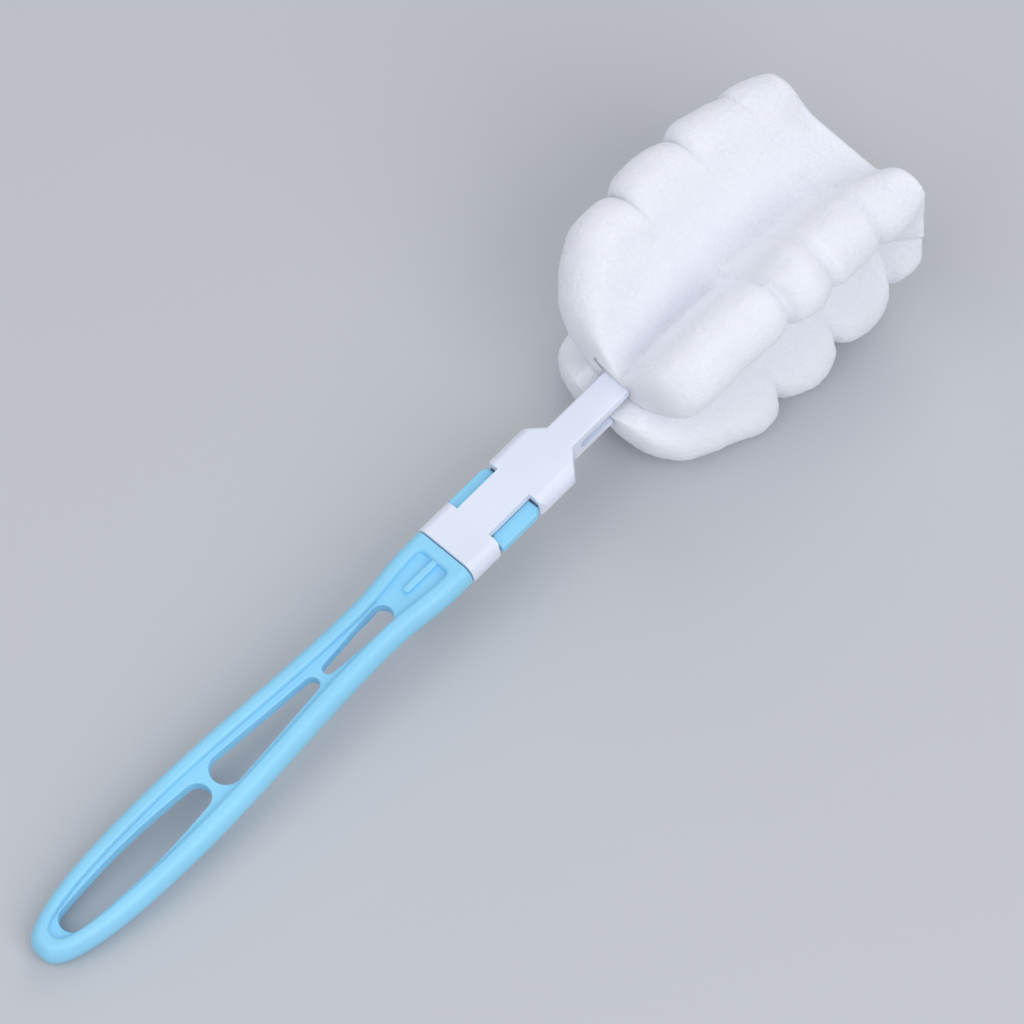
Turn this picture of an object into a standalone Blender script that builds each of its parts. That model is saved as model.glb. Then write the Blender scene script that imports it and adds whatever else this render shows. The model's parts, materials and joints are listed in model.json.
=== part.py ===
"""Sponge bottle brush, in metres, +Z up.

A moulded handle with a hanging loop carries two sprung latch arms. They hold a clip-on head, whose fork
grips two scalloped foam sheets. The sheets are pinched between the prongs and spread out as four leaves.

The brush is modelled along +X with its front face up, from the butt at zero. It is then laid down as it
rests on a table, on the butt and on the first lobes of the two lower leaves.
"""

import math
from dataclasses import dataclass

import bmesh
import bpy
from mathutils import Vector

# Clearance between pieces, and how far a cutter reaches past what it cuts
PIECE_GAP = 0.0003
CUT_OVERRUN = 0.003

# Handle outline
HANDLE_LENGTH = 0.1278
HANDLE_THICKNESS = 0.0072
GRIP_WIDTH = 0.0195
GRIP_WIDEST_AT = 0.041
WAIST_WIDTH = 0.0143
WAIST_AT = 0.104
NECK_WIDTH = 0.0172
NECK_LENGTH = 0.0038
BUTT_LONG_POWER = 2.2
BUTT_CROSS_POWER = 2.8

# Handle rails and the web between them
RIM_ROUNDING = 0.00265
RAIL_WIDTH = 0.0042
WEB_THICKNESS = 0.0034
RAIL_LIP_RADIUS = 0.0011
WEB_FILLET_RADIUS = 0.0005
BUTT_RAIL_WIDTH = 0.0048
END_BLOCK_LENGTH = 0.0032
RECESS_CORNER_RADIUS = 0.0013
POCKET_RIB_LENGTH = 0.0098
POCKET_RIB_WIDTH = 0.0017
POCKET_RIB_HEIGHT = 0.0011
POCKET_RIB_ROUNDING = 0.0005

# Holes through the web
LOOP_HOLE_START = 0.0076
LOOP_HOLE_LENGTH = 0.0446
LOOP_HOLE_END_RADIUS = 0.0034
LOOP_HOLE_BULGE = 0.0010
BRIDGE_LENGTH = 0.0021
DROP_HOLE_LENGTH = 0.0326
DROP_HOLE_WIDE_RADIUS = 0.0041
DROP_HOLE_NARROW_RADIUS = 0.0019
NECK_HOLE_LENGTH = 0.0211
NECK_HOLE_NARROW_RADIUS = 0.0015
NECK_HOLE_WIDE_RADIUS = 0.0028

# Head housing
HEAD_WIDTH = 0.0177
HEAD_THICKNESS = 0.0076
HEAD_ROUNDING = 0.0032
RING_LENGTH = 0.0091
WINDOW_LENGTH = 0.0133
WINDOW_BAND_WIDTH = 0.00974
WINDOW_CORNER_DEPTH = 0.0011
WINDOW_LEAD_LENGTH = 0.0016
RING_LEAD_LENGTH = 0.0007
SHOULDER_LENGTH = 0.0090
SHOULDER_RADIUS = 0.0034
SHOULDER_TURN = math.radians(45)
STEM_FILLET_RADIUS = 0.0012
SOCKET_SIDE_WALL = 0.0015
SOCKET_HEIGHT = 0.0033
SOCKET_CORNER_RADIUS = 0.0005
SOCKET_DEPTH = 0.0255

# Fork
FORK_WIDTH = 0.0078
FORK_EDGE_ROUNDING = 0.0005
STEM_LENGTH = 0.00194
PRONG_THICKNESS = 0.00232
PRONG_LENGTH = 0.0497
PRONG_BARE_LENGTH = 0.0085

# Plug and latch arms
LATCH_THICKNESS = 0.0027
LATCH_EDGE_ROUNDING = 0.0006
LATCH_ROOT_RADIUS = 0.0010
LATCH_ROOT_AT = 0.0034
LATCH_ROOT_OPENING = math.radians(22.5)
LATCH_STRIP_WIDTH = 0.0016
LATCH_TAB_DEPTH = 0.00434
LATCH_TAB_INSET = 0.0001
TONGUE_LENGTH = 0.0118
TONGUE_ROOT_WIDTH = 0.0064
TONGUE_TIP_WIDTH = 0.0024
PLUG_ROOT_LENGTH = 0.0020

# Foam sheets. A place share runs from 0 at the sheets' first end to 1 at the brush's tip.
FOAM_LENGTH = 0.0832
LEAF_REACH = 0.0374
LEAF_THICKNESS = 0.0170
LEAF_ANGLE = math.radians(45)
LEAF_START_THICKNESS = 0.0090
LEAF_SWELL_LENGTH = 0.0070
LEAF_START_REACH = 0.0030
START_LENGTH = 0.0160
LOBE_LENGTH = 0.0190
FRONT_NOTCH_DEPTH = 0.0035
REAR_NOTCH_DEPTH = 0.0043
NOTCH_THINNING_SHARE = 0.06
LOBE_FULLNESS_POWER = 0.7
FOLD_COVER = 0.0019
REST_FLAT_DEPTH = 0.0005
REST_LOBE_SHARE = 0.545


@dataclass
class Leaf:
    """One of a sheet's two leaves. Its tables hold pairs of a place share and a share of the full size there."""

    start_share: float
    reach_shares: tuple
    notch_shares: tuple
    notch_depth: float
    lobe_lean_power: float
    angle_shares: tuple
    thickness_shares: tuple = ((0.0, 1.0),)
    root_shift_shares: tuple = ((0.0, 0.0),)


LEFT_FRONT_LEAF = Leaf(
    start_share=0.078,
    reach_shares=(
        (0.081, 0.330),
        (0.091, 0.493),
        (0.123, 0.650),
        (0.167, 0.775),
        (0.211, 0.860),
        (0.271, 0.945),
        (0.422, 0.990),
        (0.530, 1.000),
        (0.650, 0.990),
        (0.760, 0.955),
        (0.848, 0.918),
        (0.927, 0.870),
        (1.000, 0.790),
    ),
    notch_shares=((0.422, 1.00), (0.648, 0.95), (0.848, 0.40)),
    notch_depth=FRONT_NOTCH_DEPTH,
    lobe_lean_power=0.65,
    angle_shares=((0.062, 1.000), (0.820, 1.022), (1.000, 1.111)),
)
RIGHT_FRONT_LEAF = Leaf(
    start_share=0.078,
    reach_shares=(
        (0.081, 0.400),
        (0.091, 0.570),
        (0.118, 0.680),
        (0.204, 0.735),
        (0.306, 0.785),
        (0.409, 0.825),
        (0.500, 0.872),
        (0.573, 0.920),
        (0.650, 0.890),
        (0.740, 0.855),
        (0.847, 0.845),
        (0.940, 0.860),
        (1.000, 0.845),
    ),
    notch_shares=((0.490, 0.95), (0.649, 0.75), (0.847, 0.65)),
    notch_depth=FRONT_NOTCH_DEPTH,
    lobe_lean_power=0.75,
    angle_shares=(
        (0.062, 0.800),
        (0.200, 0.880),
        (0.339, 0.950),
        (0.543, 0.950),
        (0.760, 0.889),
        (0.880, 0.820),
        (1.000, 0.800),
    ),
    thickness_shares=((0.062, 1.00), (0.808, 1.00), (0.952, 1.24), (1.000, 1.21)),
    root_shift_shares=((0.459, 0.000), (0.639, 0.176), (0.820, 0.265), (1.000, 0.441)),
)
LEFT_REAR_LEAF = Leaf(
    start_share=0.010,
    reach_shares=(
        (0.017, 0.348),
        (0.062, 0.590),
        (0.135, 0.780),
        (0.255, 0.882),
        (0.543, 0.936),
        (0.760, 0.922),
        (1.000, 0.856),
    ),
    notch_shares=((0.375, 1.00), (0.627, 1.00), (0.868, 1.00)),
    notch_depth=REAR_NOTCH_DEPTH,
    lobe_lean_power=1.0,
    angle_shares=((0.000, 1.000),),
)
RIGHT_REAR_LEAF = Leaf(
    start_share=0.010,
    reach_shares=(
        (0.030, 0.293),
        (0.052, 0.460),
        (0.122, 0.638),
        (0.232, 0.772),
        (0.351, 0.884),
        (0.446, 0.900),
        (0.580, 0.908),
        (0.690, 0.908),
        (0.810, 0.896),
        (0.900, 0.850),
        (1.000, 0.785),
    ),
    notch_shares=((0.446, 1.00), (0.676, 1.10), (0.898, 0.90)),
    notch_depth=REAR_NOTCH_DEPTH,
    lobe_lean_power=1.25,
    angle_shares=((0.000, 1.070), (0.820, 1.040), (1.000, 0.520)),
)

# Where the two leaves of a sheet part, as shares of the half turn from the left edge to the right one
FRONT_CREASE_SHARES = (
    (0.062, 0.578),
    (0.339, 0.550),
    (0.495, 0.600),
    (0.615, 0.667),
    (0.796, 0.678),
    (1.000, 0.744),
)
REAR_CREASE_SHARES = ((0.0, 0.500), (0.495, 0.500), (1.000, 0.522))

# The fold's radius, as shares of its radius over a prong. Beyond the prongs the fold fills out.
FOLD_RADIUS_SHARES = (
    (0.000, 0.53),
    (0.075, 0.79),
    (0.339, 1.05),
    (0.495, 1.16),
    (0.639, 1.35),
    (0.820, 1.50),
    (1.000, 1.50),
)
CREASE_WIDTH = math.radians(11)
CREASE_DEPTH_SHARE = 0.75
CREASE_FADE_SHARES = (0.42, 0.60)

# The flat bridge between a sheet's leaves, which no prong pinches: its height as a share of the leaves' reach,
# and the way that it faces as a share of the half turn. The height is limited where a ray runs along it.
BRIDGE_HEIGHT_SHARES = ((0.450, 0.125), (0.495, 0.172), (0.639, 0.251), (0.820, 0.330), (1.000, 0.425))
FRONT_BRIDGE_TURN_SHARES = ((0.495, 0.60), (0.639, 0.57), (0.820, 0.545), (1.000, 0.539))
REAR_BRIDGE_TURN_SHARES = ((0.000, 0.500), (0.820, 0.505), (1.000, 0.560))
SMALLEST_BRIDGE_SLOPE = 0.3

# Derived lengths
NECK_AT = HANDLE_LENGTH - NECK_LENGTH
RECESS_END = HANDLE_LENGTH - END_BLOCK_LENGTH
LOOP_HOLE_END = LOOP_HOLE_START + LOOP_HOLE_LENGTH
DROP_HOLE_START = LOOP_HOLE_END + BRIDGE_LENGTH
DROP_HOLE_END = DROP_HOLE_START + DROP_HOLE_LENGTH
NECK_HOLE_START = DROP_HOLE_END + BRIDGE_LENGTH
HEAD_START = HANDLE_LENGTH + PIECE_GAP
WINDOW_START = HEAD_START + RING_LENGTH
WINDOW_END = WINDOW_START + WINDOW_LENGTH
SHOULDER_END = WINDOW_END + SHOULDER_LENGTH
SHOULDER_RADII = SHOULDER_RADIUS + STEM_FILLET_RADIUS
CHAMFER_DROP = (HEAD_WIDTH - FORK_WIDTH) / 2 - SHOULDER_RADII * (1 - math.cos(SHOULDER_TURN))
CHAMFER_LENGTH = SHOULDER_RADII * math.sin(SHOULDER_TURN) + CHAMFER_DROP / math.tan(SHOULDER_TURN)
STEM_START = SHOULDER_END + CHAMFER_LENGTH
SLOT_START = STEM_START + STEM_LENGTH
PRONG_END = SLOT_START + PRONG_LENGTH
FOAM_START = SLOT_START + PRONG_BARE_LENGTH
SLOT_HEIGHT = HEAD_THICKNESS - 2 * PRONG_THICKNESS
SOCKET_WIDTH = HEAD_WIDTH - 2 * SOCKET_SIDE_WALL
PLUG_WIDTH = SOCKET_WIDTH - 2 * PIECE_GAP
LATCH_ROOT_X = HANDLE_LENGTH + LATCH_ROOT_AT
LATCH_ROOT_Y = PLUG_WIDTH / 2 - LATCH_ROOT_RADIUS

# Fineness of curves
BUTT_STEPS = 9
SIDE_STEPS = 15
ARC_STEPS = 6
RIM_STEPS = 8
LIP_STEPS = 3
START_STEPS = 8
LOBE_STEPS = 7
START_CROWDING_POWER = 1.5
OUTER_RAY_SHARES = (0.0, 0.27, 0.45, 0.60, 0.73, 0.87, 1.0)
INNER_RAY_SHARES = (0.15, 0.32, 0.48, 0.62, 0.76, 0.88)
SOFT_UNION_POWER = 12
SMALL_SLOPE = 0.001
SMALLEST_MITRE = 0.3

SMOOTH_ANGLE = math.radians(35)


def clear_scene():
    for obj in list(bpy.data.objects):
        bpy.data.objects.remove(obj)


def plastic(name, colour, roughness):
    material = bpy.data.materials.new(name)
    material.use_nodes = True
    shader = material.node_tree.nodes["Principled BSDF"]
    shader.inputs["Base Color"].default_value = (*colour, 1.0)
    shader.inputs["Roughness"].default_value = roughness
    shader.inputs["Metallic"].default_value = 0.0
    return material


def ease(start, end, share):
    """A value that leaves start and reaches end without a kink."""
    share = min(max(share, 0.0), 1.0)
    return start + (end - start) * (1 - math.cos(math.pi * share)) / 2


def arc(centre_x, centre_y, radius, start, end, steps):
    turns = [start + (end - start) * i / steps for i in range(steps + 1)]
    return [(centre_x + radius * math.cos(t), centre_y + radius * math.sin(t)) for t in turns]


def mirrored_outline(right_side):
    """A closed outline, anticlockwise, from the points of its right side in order of rising x."""
    left_side = [(x, -y) for x, y in reversed(right_side) if abs(y) > 0]
    return right_side + left_side


def offset_outline(outline, inset):
    """The outline moved inwards by inset, or outwards where inset is negative."""
    moved = []
    count = len(outline)
    for i, point in enumerate(outline):
        here = Vector(point)
        before = (here - Vector(outline[i - 1])).normalized()
        after = (Vector(outline[(i + 1) % count]) - here).normalized()
        inward_before = Vector((-before.y, before.x))
        inward_after = Vector((-after.y, after.x))
        mitre = (inward_before + inward_after).normalized()
        moved.append(here + mitre * (inset / max(mitre.dot(inward_before), SMALLEST_MITRE)))
    return moved


def mesh_object(name, bm, material=None):
    bmesh.ops.recalc_face_normals(bm, faces=bm.faces)
    mesh = bpy.data.meshes.new(name)
    bm.to_mesh(mesh)
    bm.free()
    mesh.shade_smooth()
    mesh.set_sharp_from_angle(angle=SMOOTH_ANGLE)
    obj = bpy.data.objects.new(name, mesh)
    bpy.context.scene.collection.objects.link(obj)
    if material:
        mesh.materials.append(material)
    else:
        obj.hide_render = True
        obj.display_type = "WIRE"
    return obj


def stack_loops(bm, loops):
    """Walls from loop to loop of 3-D points, closed at both ends."""
    rings = [[bm.verts.new(point) for point in loop] for loop in loops]
    for lower, upper in zip(rings, rings[1:]):
        for i in range(len(lower)):
            j = (i + 1) % len(lower)
            bm.faces.new((lower[i], lower[j], upper[j], upper[i]))
    bm.faces.new(list(reversed(rings[0])))
    bm.faces.new(rings[-1])


def rimmed_solid(outline, profile):
    """A solid with a plan outline, whose edge follows a profile of (inset, height) pairs from the bottom up."""
    bm = bmesh.new()
    stack_loops(bm, [[(p.x, p.y, z) for p in offset_outline(outline, inset)] for inset, z in profile])
    return bm


def rounded_profile(half_height, rounding, steps):
    turns = [math.pi * (i / steps - 0.5) for i in range(steps + 1)]
    return [(rounding * (1 - math.cos(t)), half_height * math.sin(t)) for t in turns]


def edge_profile(half_height, rounding, steps):
    """A straight wall with a quarter round of its own radius at each edge."""
    turns = [math.pi / 2 * i / steps for i in range(steps + 1)]
    wall = half_height - rounding
    upper = [(rounding * (1 - math.cos(t)), wall + rounding * math.sin(t)) for t in turns]
    return [(inset, -z) for inset, z in reversed(upper)] + upper


def box_cutter(name, low, high):
    bm = bmesh.new()
    bmesh.ops.create_cube(bm, size=1.0)
    size = Vector(high) - Vector(low)
    middle = (Vector(high) + Vector(low)) / 2
    bmesh.ops.scale(bm, vec=size, verts=bm.verts)
    bmesh.ops.translate(bm, vec=middle, verts=bm.verts)
    return mesh_object(name, bm)


def straight_cutter(name, outline, half_height):
    return mesh_object(name, rimmed_solid(outline, [(0, -half_height), (0, half_height)]))


def cut_beyond(bm, x, side):
    """Planes the mesh off at x, on the side given as 1 or -1, and closes it."""
    geometry = list(bm.verts) + list(bm.edges) + list(bm.faces)
    bmesh.ops.bisect_plane(bm, geom=geometry, plane_co=(x, 0, 0), plane_no=(side, 0, 0), clear_outer=True)
    rim = [edge for edge in bm.edges if edge.is_boundary]
    bmesh.ops.holes_fill(bm, edges=rim, sides=0)


def add_boolean(obj, tool, operation):
    modifier = obj.modifiers.new(f"{operation.lower()} {tool.name}", "BOOLEAN")
    modifier.operation = operation
    modifier.solver = "EXACT"
    modifier.object = tool
    tool.parent = obj.parent
    return modifier


def handle_half_width(x):
    if x < GRIP_WIDEST_AT:
        away = 1 - x / GRIP_WIDEST_AT
        return GRIP_WIDTH / 2 * (1 - away**BUTT_LONG_POWER) ** (1 / BUTT_CROSS_POWER)
    if x < WAIST_AT:
        return ease(GRIP_WIDTH, WAIST_WIDTH, (x - GRIP_WIDEST_AT) / (WAIST_AT - GRIP_WIDEST_AT)) / 2
    return ease(WAIST_WIDTH, NECK_WIDTH, (x - WAIST_AT) / (NECK_AT - WAIST_AT)) / 2


def blunt_end(start, half_width):
    """The right side of the butt's curve, from start to the handle's widest place."""
    turns = [math.pi / 2 * i / BUTT_STEPS for i in range(BUTT_STEPS)]
    length = GRIP_WIDEST_AT - start
    points = []
    for turn in turns:
        along = start + length * (1 - math.cos(turn) ** (2 / BUTT_LONG_POWER))
        points.append((along, -half_width * math.sin(turn) ** (2 / BUTT_CROSS_POWER)))
    return points


def handle_outline(end):
    side = blunt_end(0.0, GRIP_WIDTH / 2)
    for i in range(SIDE_STEPS + 1):
        x = GRIP_WIDEST_AT + (end - GRIP_WIDEST_AT) * i / SIDE_STEPS
        side.append((x, -handle_half_width(x)))
    return mirrored_outline(side)


def recess_outline():
    """The line of the rails' inner walls, on either face of the web."""
    side = blunt_end(BUTT_RAIL_WIDTH, GRIP_WIDTH / 2 - RAIL_WIDTH)
    corner_x = RECESS_END - RECESS_CORNER_RADIUS
    for i in range(SIDE_STEPS):
        x = GRIP_WIDEST_AT + (corner_x - GRIP_WIDEST_AT) * i / SIDE_STEPS
        side.append((x, RAIL_WIDTH - handle_half_width(x)))
    corner_y = RAIL_WIDTH + RECESS_CORNER_RADIUS - handle_half_width(corner_x)
    side += arc(corner_x, corner_y, RECESS_CORNER_RADIUS, -math.pi / 2, 0, ARC_STEPS // 2)
    return mirrored_outline(side)


def recess_profile():
    """The rails' inner lip, wall and fillet, as (inset, height) pairs from the web up."""
    web = WEB_THICKNESS / 2
    top = HANDLE_THICKNESS / 2
    turns = [math.pi / 2 * i / LIP_STEPS for i in range(LIP_STEPS)]
    profile = []
    for turn in turns:
        profile.append((WEB_FILLET_RADIUS * (1 - math.sin(turn)), web + WEB_FILLET_RADIUS * (1 - math.cos(turn))))
    for turn in turns:
        outset = RAIL_LIP_RADIUS * (1 - math.cos(turn))
        profile.append((-outset, top - RAIL_LIP_RADIUS * (1 - math.sin(turn))))
    profile.append((profile[-1][0], top + CUT_OVERRUN))
    return profile


def slot_outline(start, end, start_radius, end_radius, bulge):
    """A round-ended slot that tapers from one end to the other and may swell between them."""
    side = arc(start + start_radius, 0, start_radius, math.pi, 3 * math.pi / 2, ARC_STEPS)
    side[0] = (start, 0.0)
    first = start + start_radius
    last = end - end_radius
    for i in range(1, ARC_STEPS):
        share = i / ARC_STEPS
        half = start_radius + (end_radius - start_radius) * share + bulge * math.sin(math.pi * share)
        side.append((first + (last - first) * share, -half))
    side += arc(last, 0, end_radius, -math.pi / 2, 0, ARC_STEPS)[:-1]
    side.append((end, 0.0))
    return mirrored_outline(side)


def plug_outline():
    """The plug in plan: a block with a round seat for each latch arm, and a tapering tongue between them."""
    seat = LATCH_ROOT_RADIUS + PIECE_GAP
    lip = math.asin((PLUG_WIDTH / 2 - LATCH_ROOT_Y) / seat)
    block_start = HANDLE_LENGTH - PLUG_ROOT_LENGTH
    side = [(block_start, 0.0), (block_start, -PLUG_WIDTH / 2)]
    side += arc(LATCH_ROOT_X, -LATCH_ROOT_Y, seat, math.pi + lip, math.pi / 2, ARC_STEPS)
    tongue_end = LATCH_ROOT_X + TONGUE_LENGTH
    side += [(LATCH_ROOT_X, -TONGUE_ROOT_WIDTH / 2), (tongue_end, -TONGUE_TIP_WIDTH / 2)]
    return mirrored_outline(side)


def make_handle(parent, material):
    bm = rimmed_solid(
        handle_outline(HANDLE_LENGTH + HANDLE_THICKNESS),
        rounded_profile(HANDLE_THICKNESS / 2, RIM_ROUNDING, RIM_STEPS),
    )
    cut_beyond(bm, HANDLE_LENGTH, 1)
    handle = mesh_object("handle", bm, material)
    handle.parent = parent
    for side, face in ((1, "front"), (-1, "back")):
        bm = rimmed_solid(recess_outline(), recess_profile())
        if side < 0:
            bmesh.ops.scale(bm, vec=(1, 1, -1), verts=bm.verts)
        add_boolean(handle, mesh_object(f"cutter_recess_{face}", bm), "DIFFERENCE")
    rib_half = POCKET_RIB_WIDTH / 2
    rib_outline = slot_outline(RECESS_END - POCKET_RIB_LENGTH, RECESS_END + RAIL_LIP_RADIUS, rib_half, rib_half, 0)
    rib_profile = edge_profile(WEB_THICKNESS / 2 + POCKET_RIB_HEIGHT, POCKET_RIB_ROUNDING, LIP_STEPS)
    add_boolean(handle, mesh_object("joined_pocket_rib", rimmed_solid(rib_outline, rib_profile)), "UNION")
    holes = (
        ("loop", LOOP_HOLE_START, LOOP_HOLE_END, LOOP_HOLE_END_RADIUS, LOOP_HOLE_END_RADIUS, LOOP_HOLE_BULGE),
        ("drop", DROP_HOLE_START, DROP_HOLE_END, DROP_HOLE_WIDE_RADIUS, DROP_HOLE_NARROW_RADIUS, 0),
        ("neck", NECK_HOLE_START, NECK_HOLE_START + NECK_HOLE_LENGTH, NECK_HOLE_NARROW_RADIUS, NECK_HOLE_WIDE_RADIUS, 0),
    )
    for name, start, end, start_radius, end_radius, bulge in holes:
        outline = slot_outline(start, end, start_radius, end_radius, bulge)
        tool = straight_cutter(f"cutter_{name}_hole", outline, HANDLE_THICKNESS / 2 + CUT_OVERRUN)
        add_boolean(handle, tool, "DIFFERENCE")
    plug = rimmed_solid(plug_outline(), edge_profile(LATCH_THICKNESS / 2, LATCH_EDGE_ROUNDING / 2, 1))
    add_boolean(handle, mesh_object("joined_plug", plug), "UNION")
    return handle


def make_latch_arm(name, side, parent, material):
    """A springy arm whose tab fills a window of the head. Its origin is on the line that it bends about."""
    strip_outer = LATCH_ROOT_RADIUS
    strip_inner = strip_outer - LATCH_STRIP_WIDTH
    tab_outer = HEAD_WIDTH / 2 - LATCH_TAB_INSET - LATCH_ROOT_Y
    tab_inner = tab_outer - LATCH_TAB_DEPTH
    tab_start = WINDOW_START + PIECE_GAP - LATCH_ROOT_X
    tab_end = WINDOW_END - PIECE_GAP - LATCH_ROOT_X
    outline = arc(0, 0, LATCH_ROOT_RADIUS, math.pi / 2, 3 * math.pi / 2 - LATCH_ROOT_OPENING, ARC_STEPS)
    outline += [
        (LATCH_ROOT_RADIUS, strip_inner),
        (tab_start - PIECE_GAP, strip_inner),
        (tab_start + strip_inner - tab_inner, tab_inner),
        (tab_end, tab_inner),
        (tab_end, tab_outer - WINDOW_CORNER_DEPTH),
        (tab_end - WINDOW_LEAD_LENGTH, tab_outer),
        (tab_start, tab_outer),
        (tab_start, strip_outer),
    ]
    bm = rimmed_solid(outline, edge_profile(LATCH_THICKNESS / 2, LATCH_EDGE_ROUNDING, LIP_STEPS))
    if side < 0:
        bmesh.ops.scale(bm, vec=(1, -1, 1), verts=bm.verts)
    arm = mesh_object(name, bm, material)
    arm.location = (LATCH_ROOT_X, side * LATCH_ROOT_Y, 0)
    arm.parent = parent
    return arm


def head_outline():
    """The housing in plan: its shoulders round in to chamfers, and fillets lead on into the stem."""
    half = HEAD_WIDTH / 2
    stem_half = FORK_WIDTH / 2
    side = [(HEAD_START - HEAD_ROUNDING - CUT_OVERRUN, -half)]
    down = -math.pi / 2
    side += arc(SHOULDER_END, SHOULDER_RADIUS - half, SHOULDER_RADIUS, down, down + SHOULDER_TURN, ARC_STEPS // 2)
    centre_y = -stem_half - STEM_FILLET_RADIUS
    side += arc(STEM_START, centre_y, STEM_FILLET_RADIUS, SHOULDER_TURN - down, -down, ARC_STEPS // 2)
    side.append((STEM_START + HEAD_ROUNDING + FORK_EDGE_ROUNDING, -stem_half))
    return mirrored_outline(side)


def make_head(parent, material):
    profile = rounded_profile(HEAD_THICKNESS / 2, HEAD_ROUNDING, RIM_STEPS)
    bm = rimmed_solid(head_outline(), profile)
    cut_beyond(bm, HEAD_START, -1)
    head = mesh_object("head", bm, material)
    head.parent = parent

    fork = bmesh.new()
    bmesh.ops.create_cube(fork, size=1.0)
    fork_length = PRONG_END - SHOULDER_END
    bmesh.ops.scale(fork, vec=(fork_length, FORK_WIDTH, HEAD_THICKNESS), verts=fork.verts)
    bmesh.ops.translate(fork, vec=(SHOULDER_END + fork_length / 2, 0, 0), verts=fork.verts)
    along = [edge for edge in fork.edges if abs(edge.verts[0].co.x - edge.verts[1].co.x) > fork_length / 2]
    bmesh.ops.bevel(
        fork, geom=along, offset=FORK_EDGE_ROUNDING, affect="EDGES", segments=2, profile=0.5, material=-1
    )
    add_boolean(head, mesh_object("joined_fork", fork), "UNION")

    slot_half = SLOT_HEIGHT / 2
    bm = bmesh.new()
    root = arc(SLOT_START + slot_half, 0, slot_half, math.pi / 2, 3 * math.pi / 2, ARC_STEPS)
    section = root + [(PRONG_END + CUT_OVERRUN, -slot_half), (PRONG_END + CUT_OVERRUN, slot_half)]
    half_width = FORK_WIDTH / 2 + CUT_OVERRUN
    stack_loops(bm, [[(x, y, z) for x, z in section] for y in (-half_width, half_width)])
    add_boolean(head, mesh_object("cutter_fork_slot", bm), "DIFFERENCE")

    bm = bmesh.new()
    socket_end = HEAD_START + SOCKET_DEPTH
    socket_start = HEAD_START - CUT_OVERRUN
    corners = []
    for sign_y, sign_z, turn in ((1, 1, 0), (-1, 1, 1), (-1, -1, 2), (1, -1, 3)):
        centre_y = sign_y * (SOCKET_WIDTH / 2 - SOCKET_CORNER_RADIUS)
        centre_z = sign_z * (SOCKET_HEIGHT / 2 - SOCKET_CORNER_RADIUS)
        first = turn * math.pi / 2
        corners += arc(centre_y, centre_z, SOCKET_CORNER_RADIUS, first, first + math.pi / 2, 2)
    stack_loops(bm, [[(x, y, z) for y, z in corners] for x in (socket_start, socket_end)])
    add_boolean(head, mesh_object("cutter_socket", bm), "DIFFERENCE")

    inner = WINDOW_BAND_WIDTH / 2
    outer = HEAD_WIDTH / 2
    lead_start = outer - WINDOW_CORNER_DEPTH
    beyond = CUT_OVERRUN / WINDOW_CORNER_DEPTH
    for side, name in ((1, "left"), (-1, "right")):
        outline = [
            (WINDOW_START, inner),
            (WINDOW_END, inner),
            (WINDOW_END, lead_start),
            (WINDOW_END + WINDOW_LEAD_LENGTH * (1 + beyond), outer + CUT_OVERRUN),
            (WINDOW_START - RING_LEAD_LENGTH * (1 + beyond), outer + CUT_OVERRUN),
            (WINDOW_START, lead_start),
        ]
        outline = [(x, side * y) for x, y in outline]
        tool = straight_cutter(f"cutter_window_{name}", outline, HEAD_THICKNESS / 2 + CUT_OVERRUN)
        add_boolean(head, tool, "DIFFERENCE")
    return head


def along_table(table, place):
    """The value at a place of a line through a table of (place, value) pairs."""
    if place <= table[0][0]:
        return table[0][1]
    for (low, before), (high, after) in zip(table, table[1:]):
        if place <= high:
            return before + (after - before) * (place - low) / (high - low)
    return table[-1][1]


def leaf_stations(start_share):
    """Place shares at which a sheet's section is drawn, closer together where the leaves begin."""
    dense = START_LENGTH / FOAM_LENGTH
    places = [start_share + dense * (i / START_STEPS) ** START_CROWDING_POWER for i in range(START_STEPS + 1)]
    rest = 1 - places[-1]
    count = round(rest * FOAM_LENGTH / (LOBE_LENGTH / LOBE_STEPS))
    return places + [places[-1] + rest * i / count for i in range(1, count + 1)]


def notch_drop(place, leaf):
    """How far the leaf's edge stands in from its lobes' crests: the notch depth's share there, 0 on a crest."""
    lobe = LOBE_LENGTH / FOAM_LENGTH
    first, last = leaf.notch_shares[0], leaf.notch_shares[-1]
    bounds = ((first[0] - lobe, 0.0), *leaf.notch_shares, (last[0] + lobe, last[1]))
    for (low, depth), (high, next_depth) in zip(bounds, bounds[1:]):
        if low < place <= high:
            within = (place - low) / (high - low)
            leaning = within**leaf.lobe_lean_power
            crest = max(4 * leaning * (1 - leaning), 0.0) ** LOBE_FULLNESS_POWER
            return (1 - crest) * (depth + (next_depth - depth) * within)
    return 0.0


def fold_radius(place):
    over_prong = HEAD_THICKNESS / 2 + FOLD_COVER
    return along_table(FOLD_RADIUS_SHARES, place) * over_prong


def leaf_angle(place, leaf, side):
    angle = along_table(leaf.angle_shares, place) * LEAF_ANGLE
    return angle if side > 0 else math.pi - angle


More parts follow.
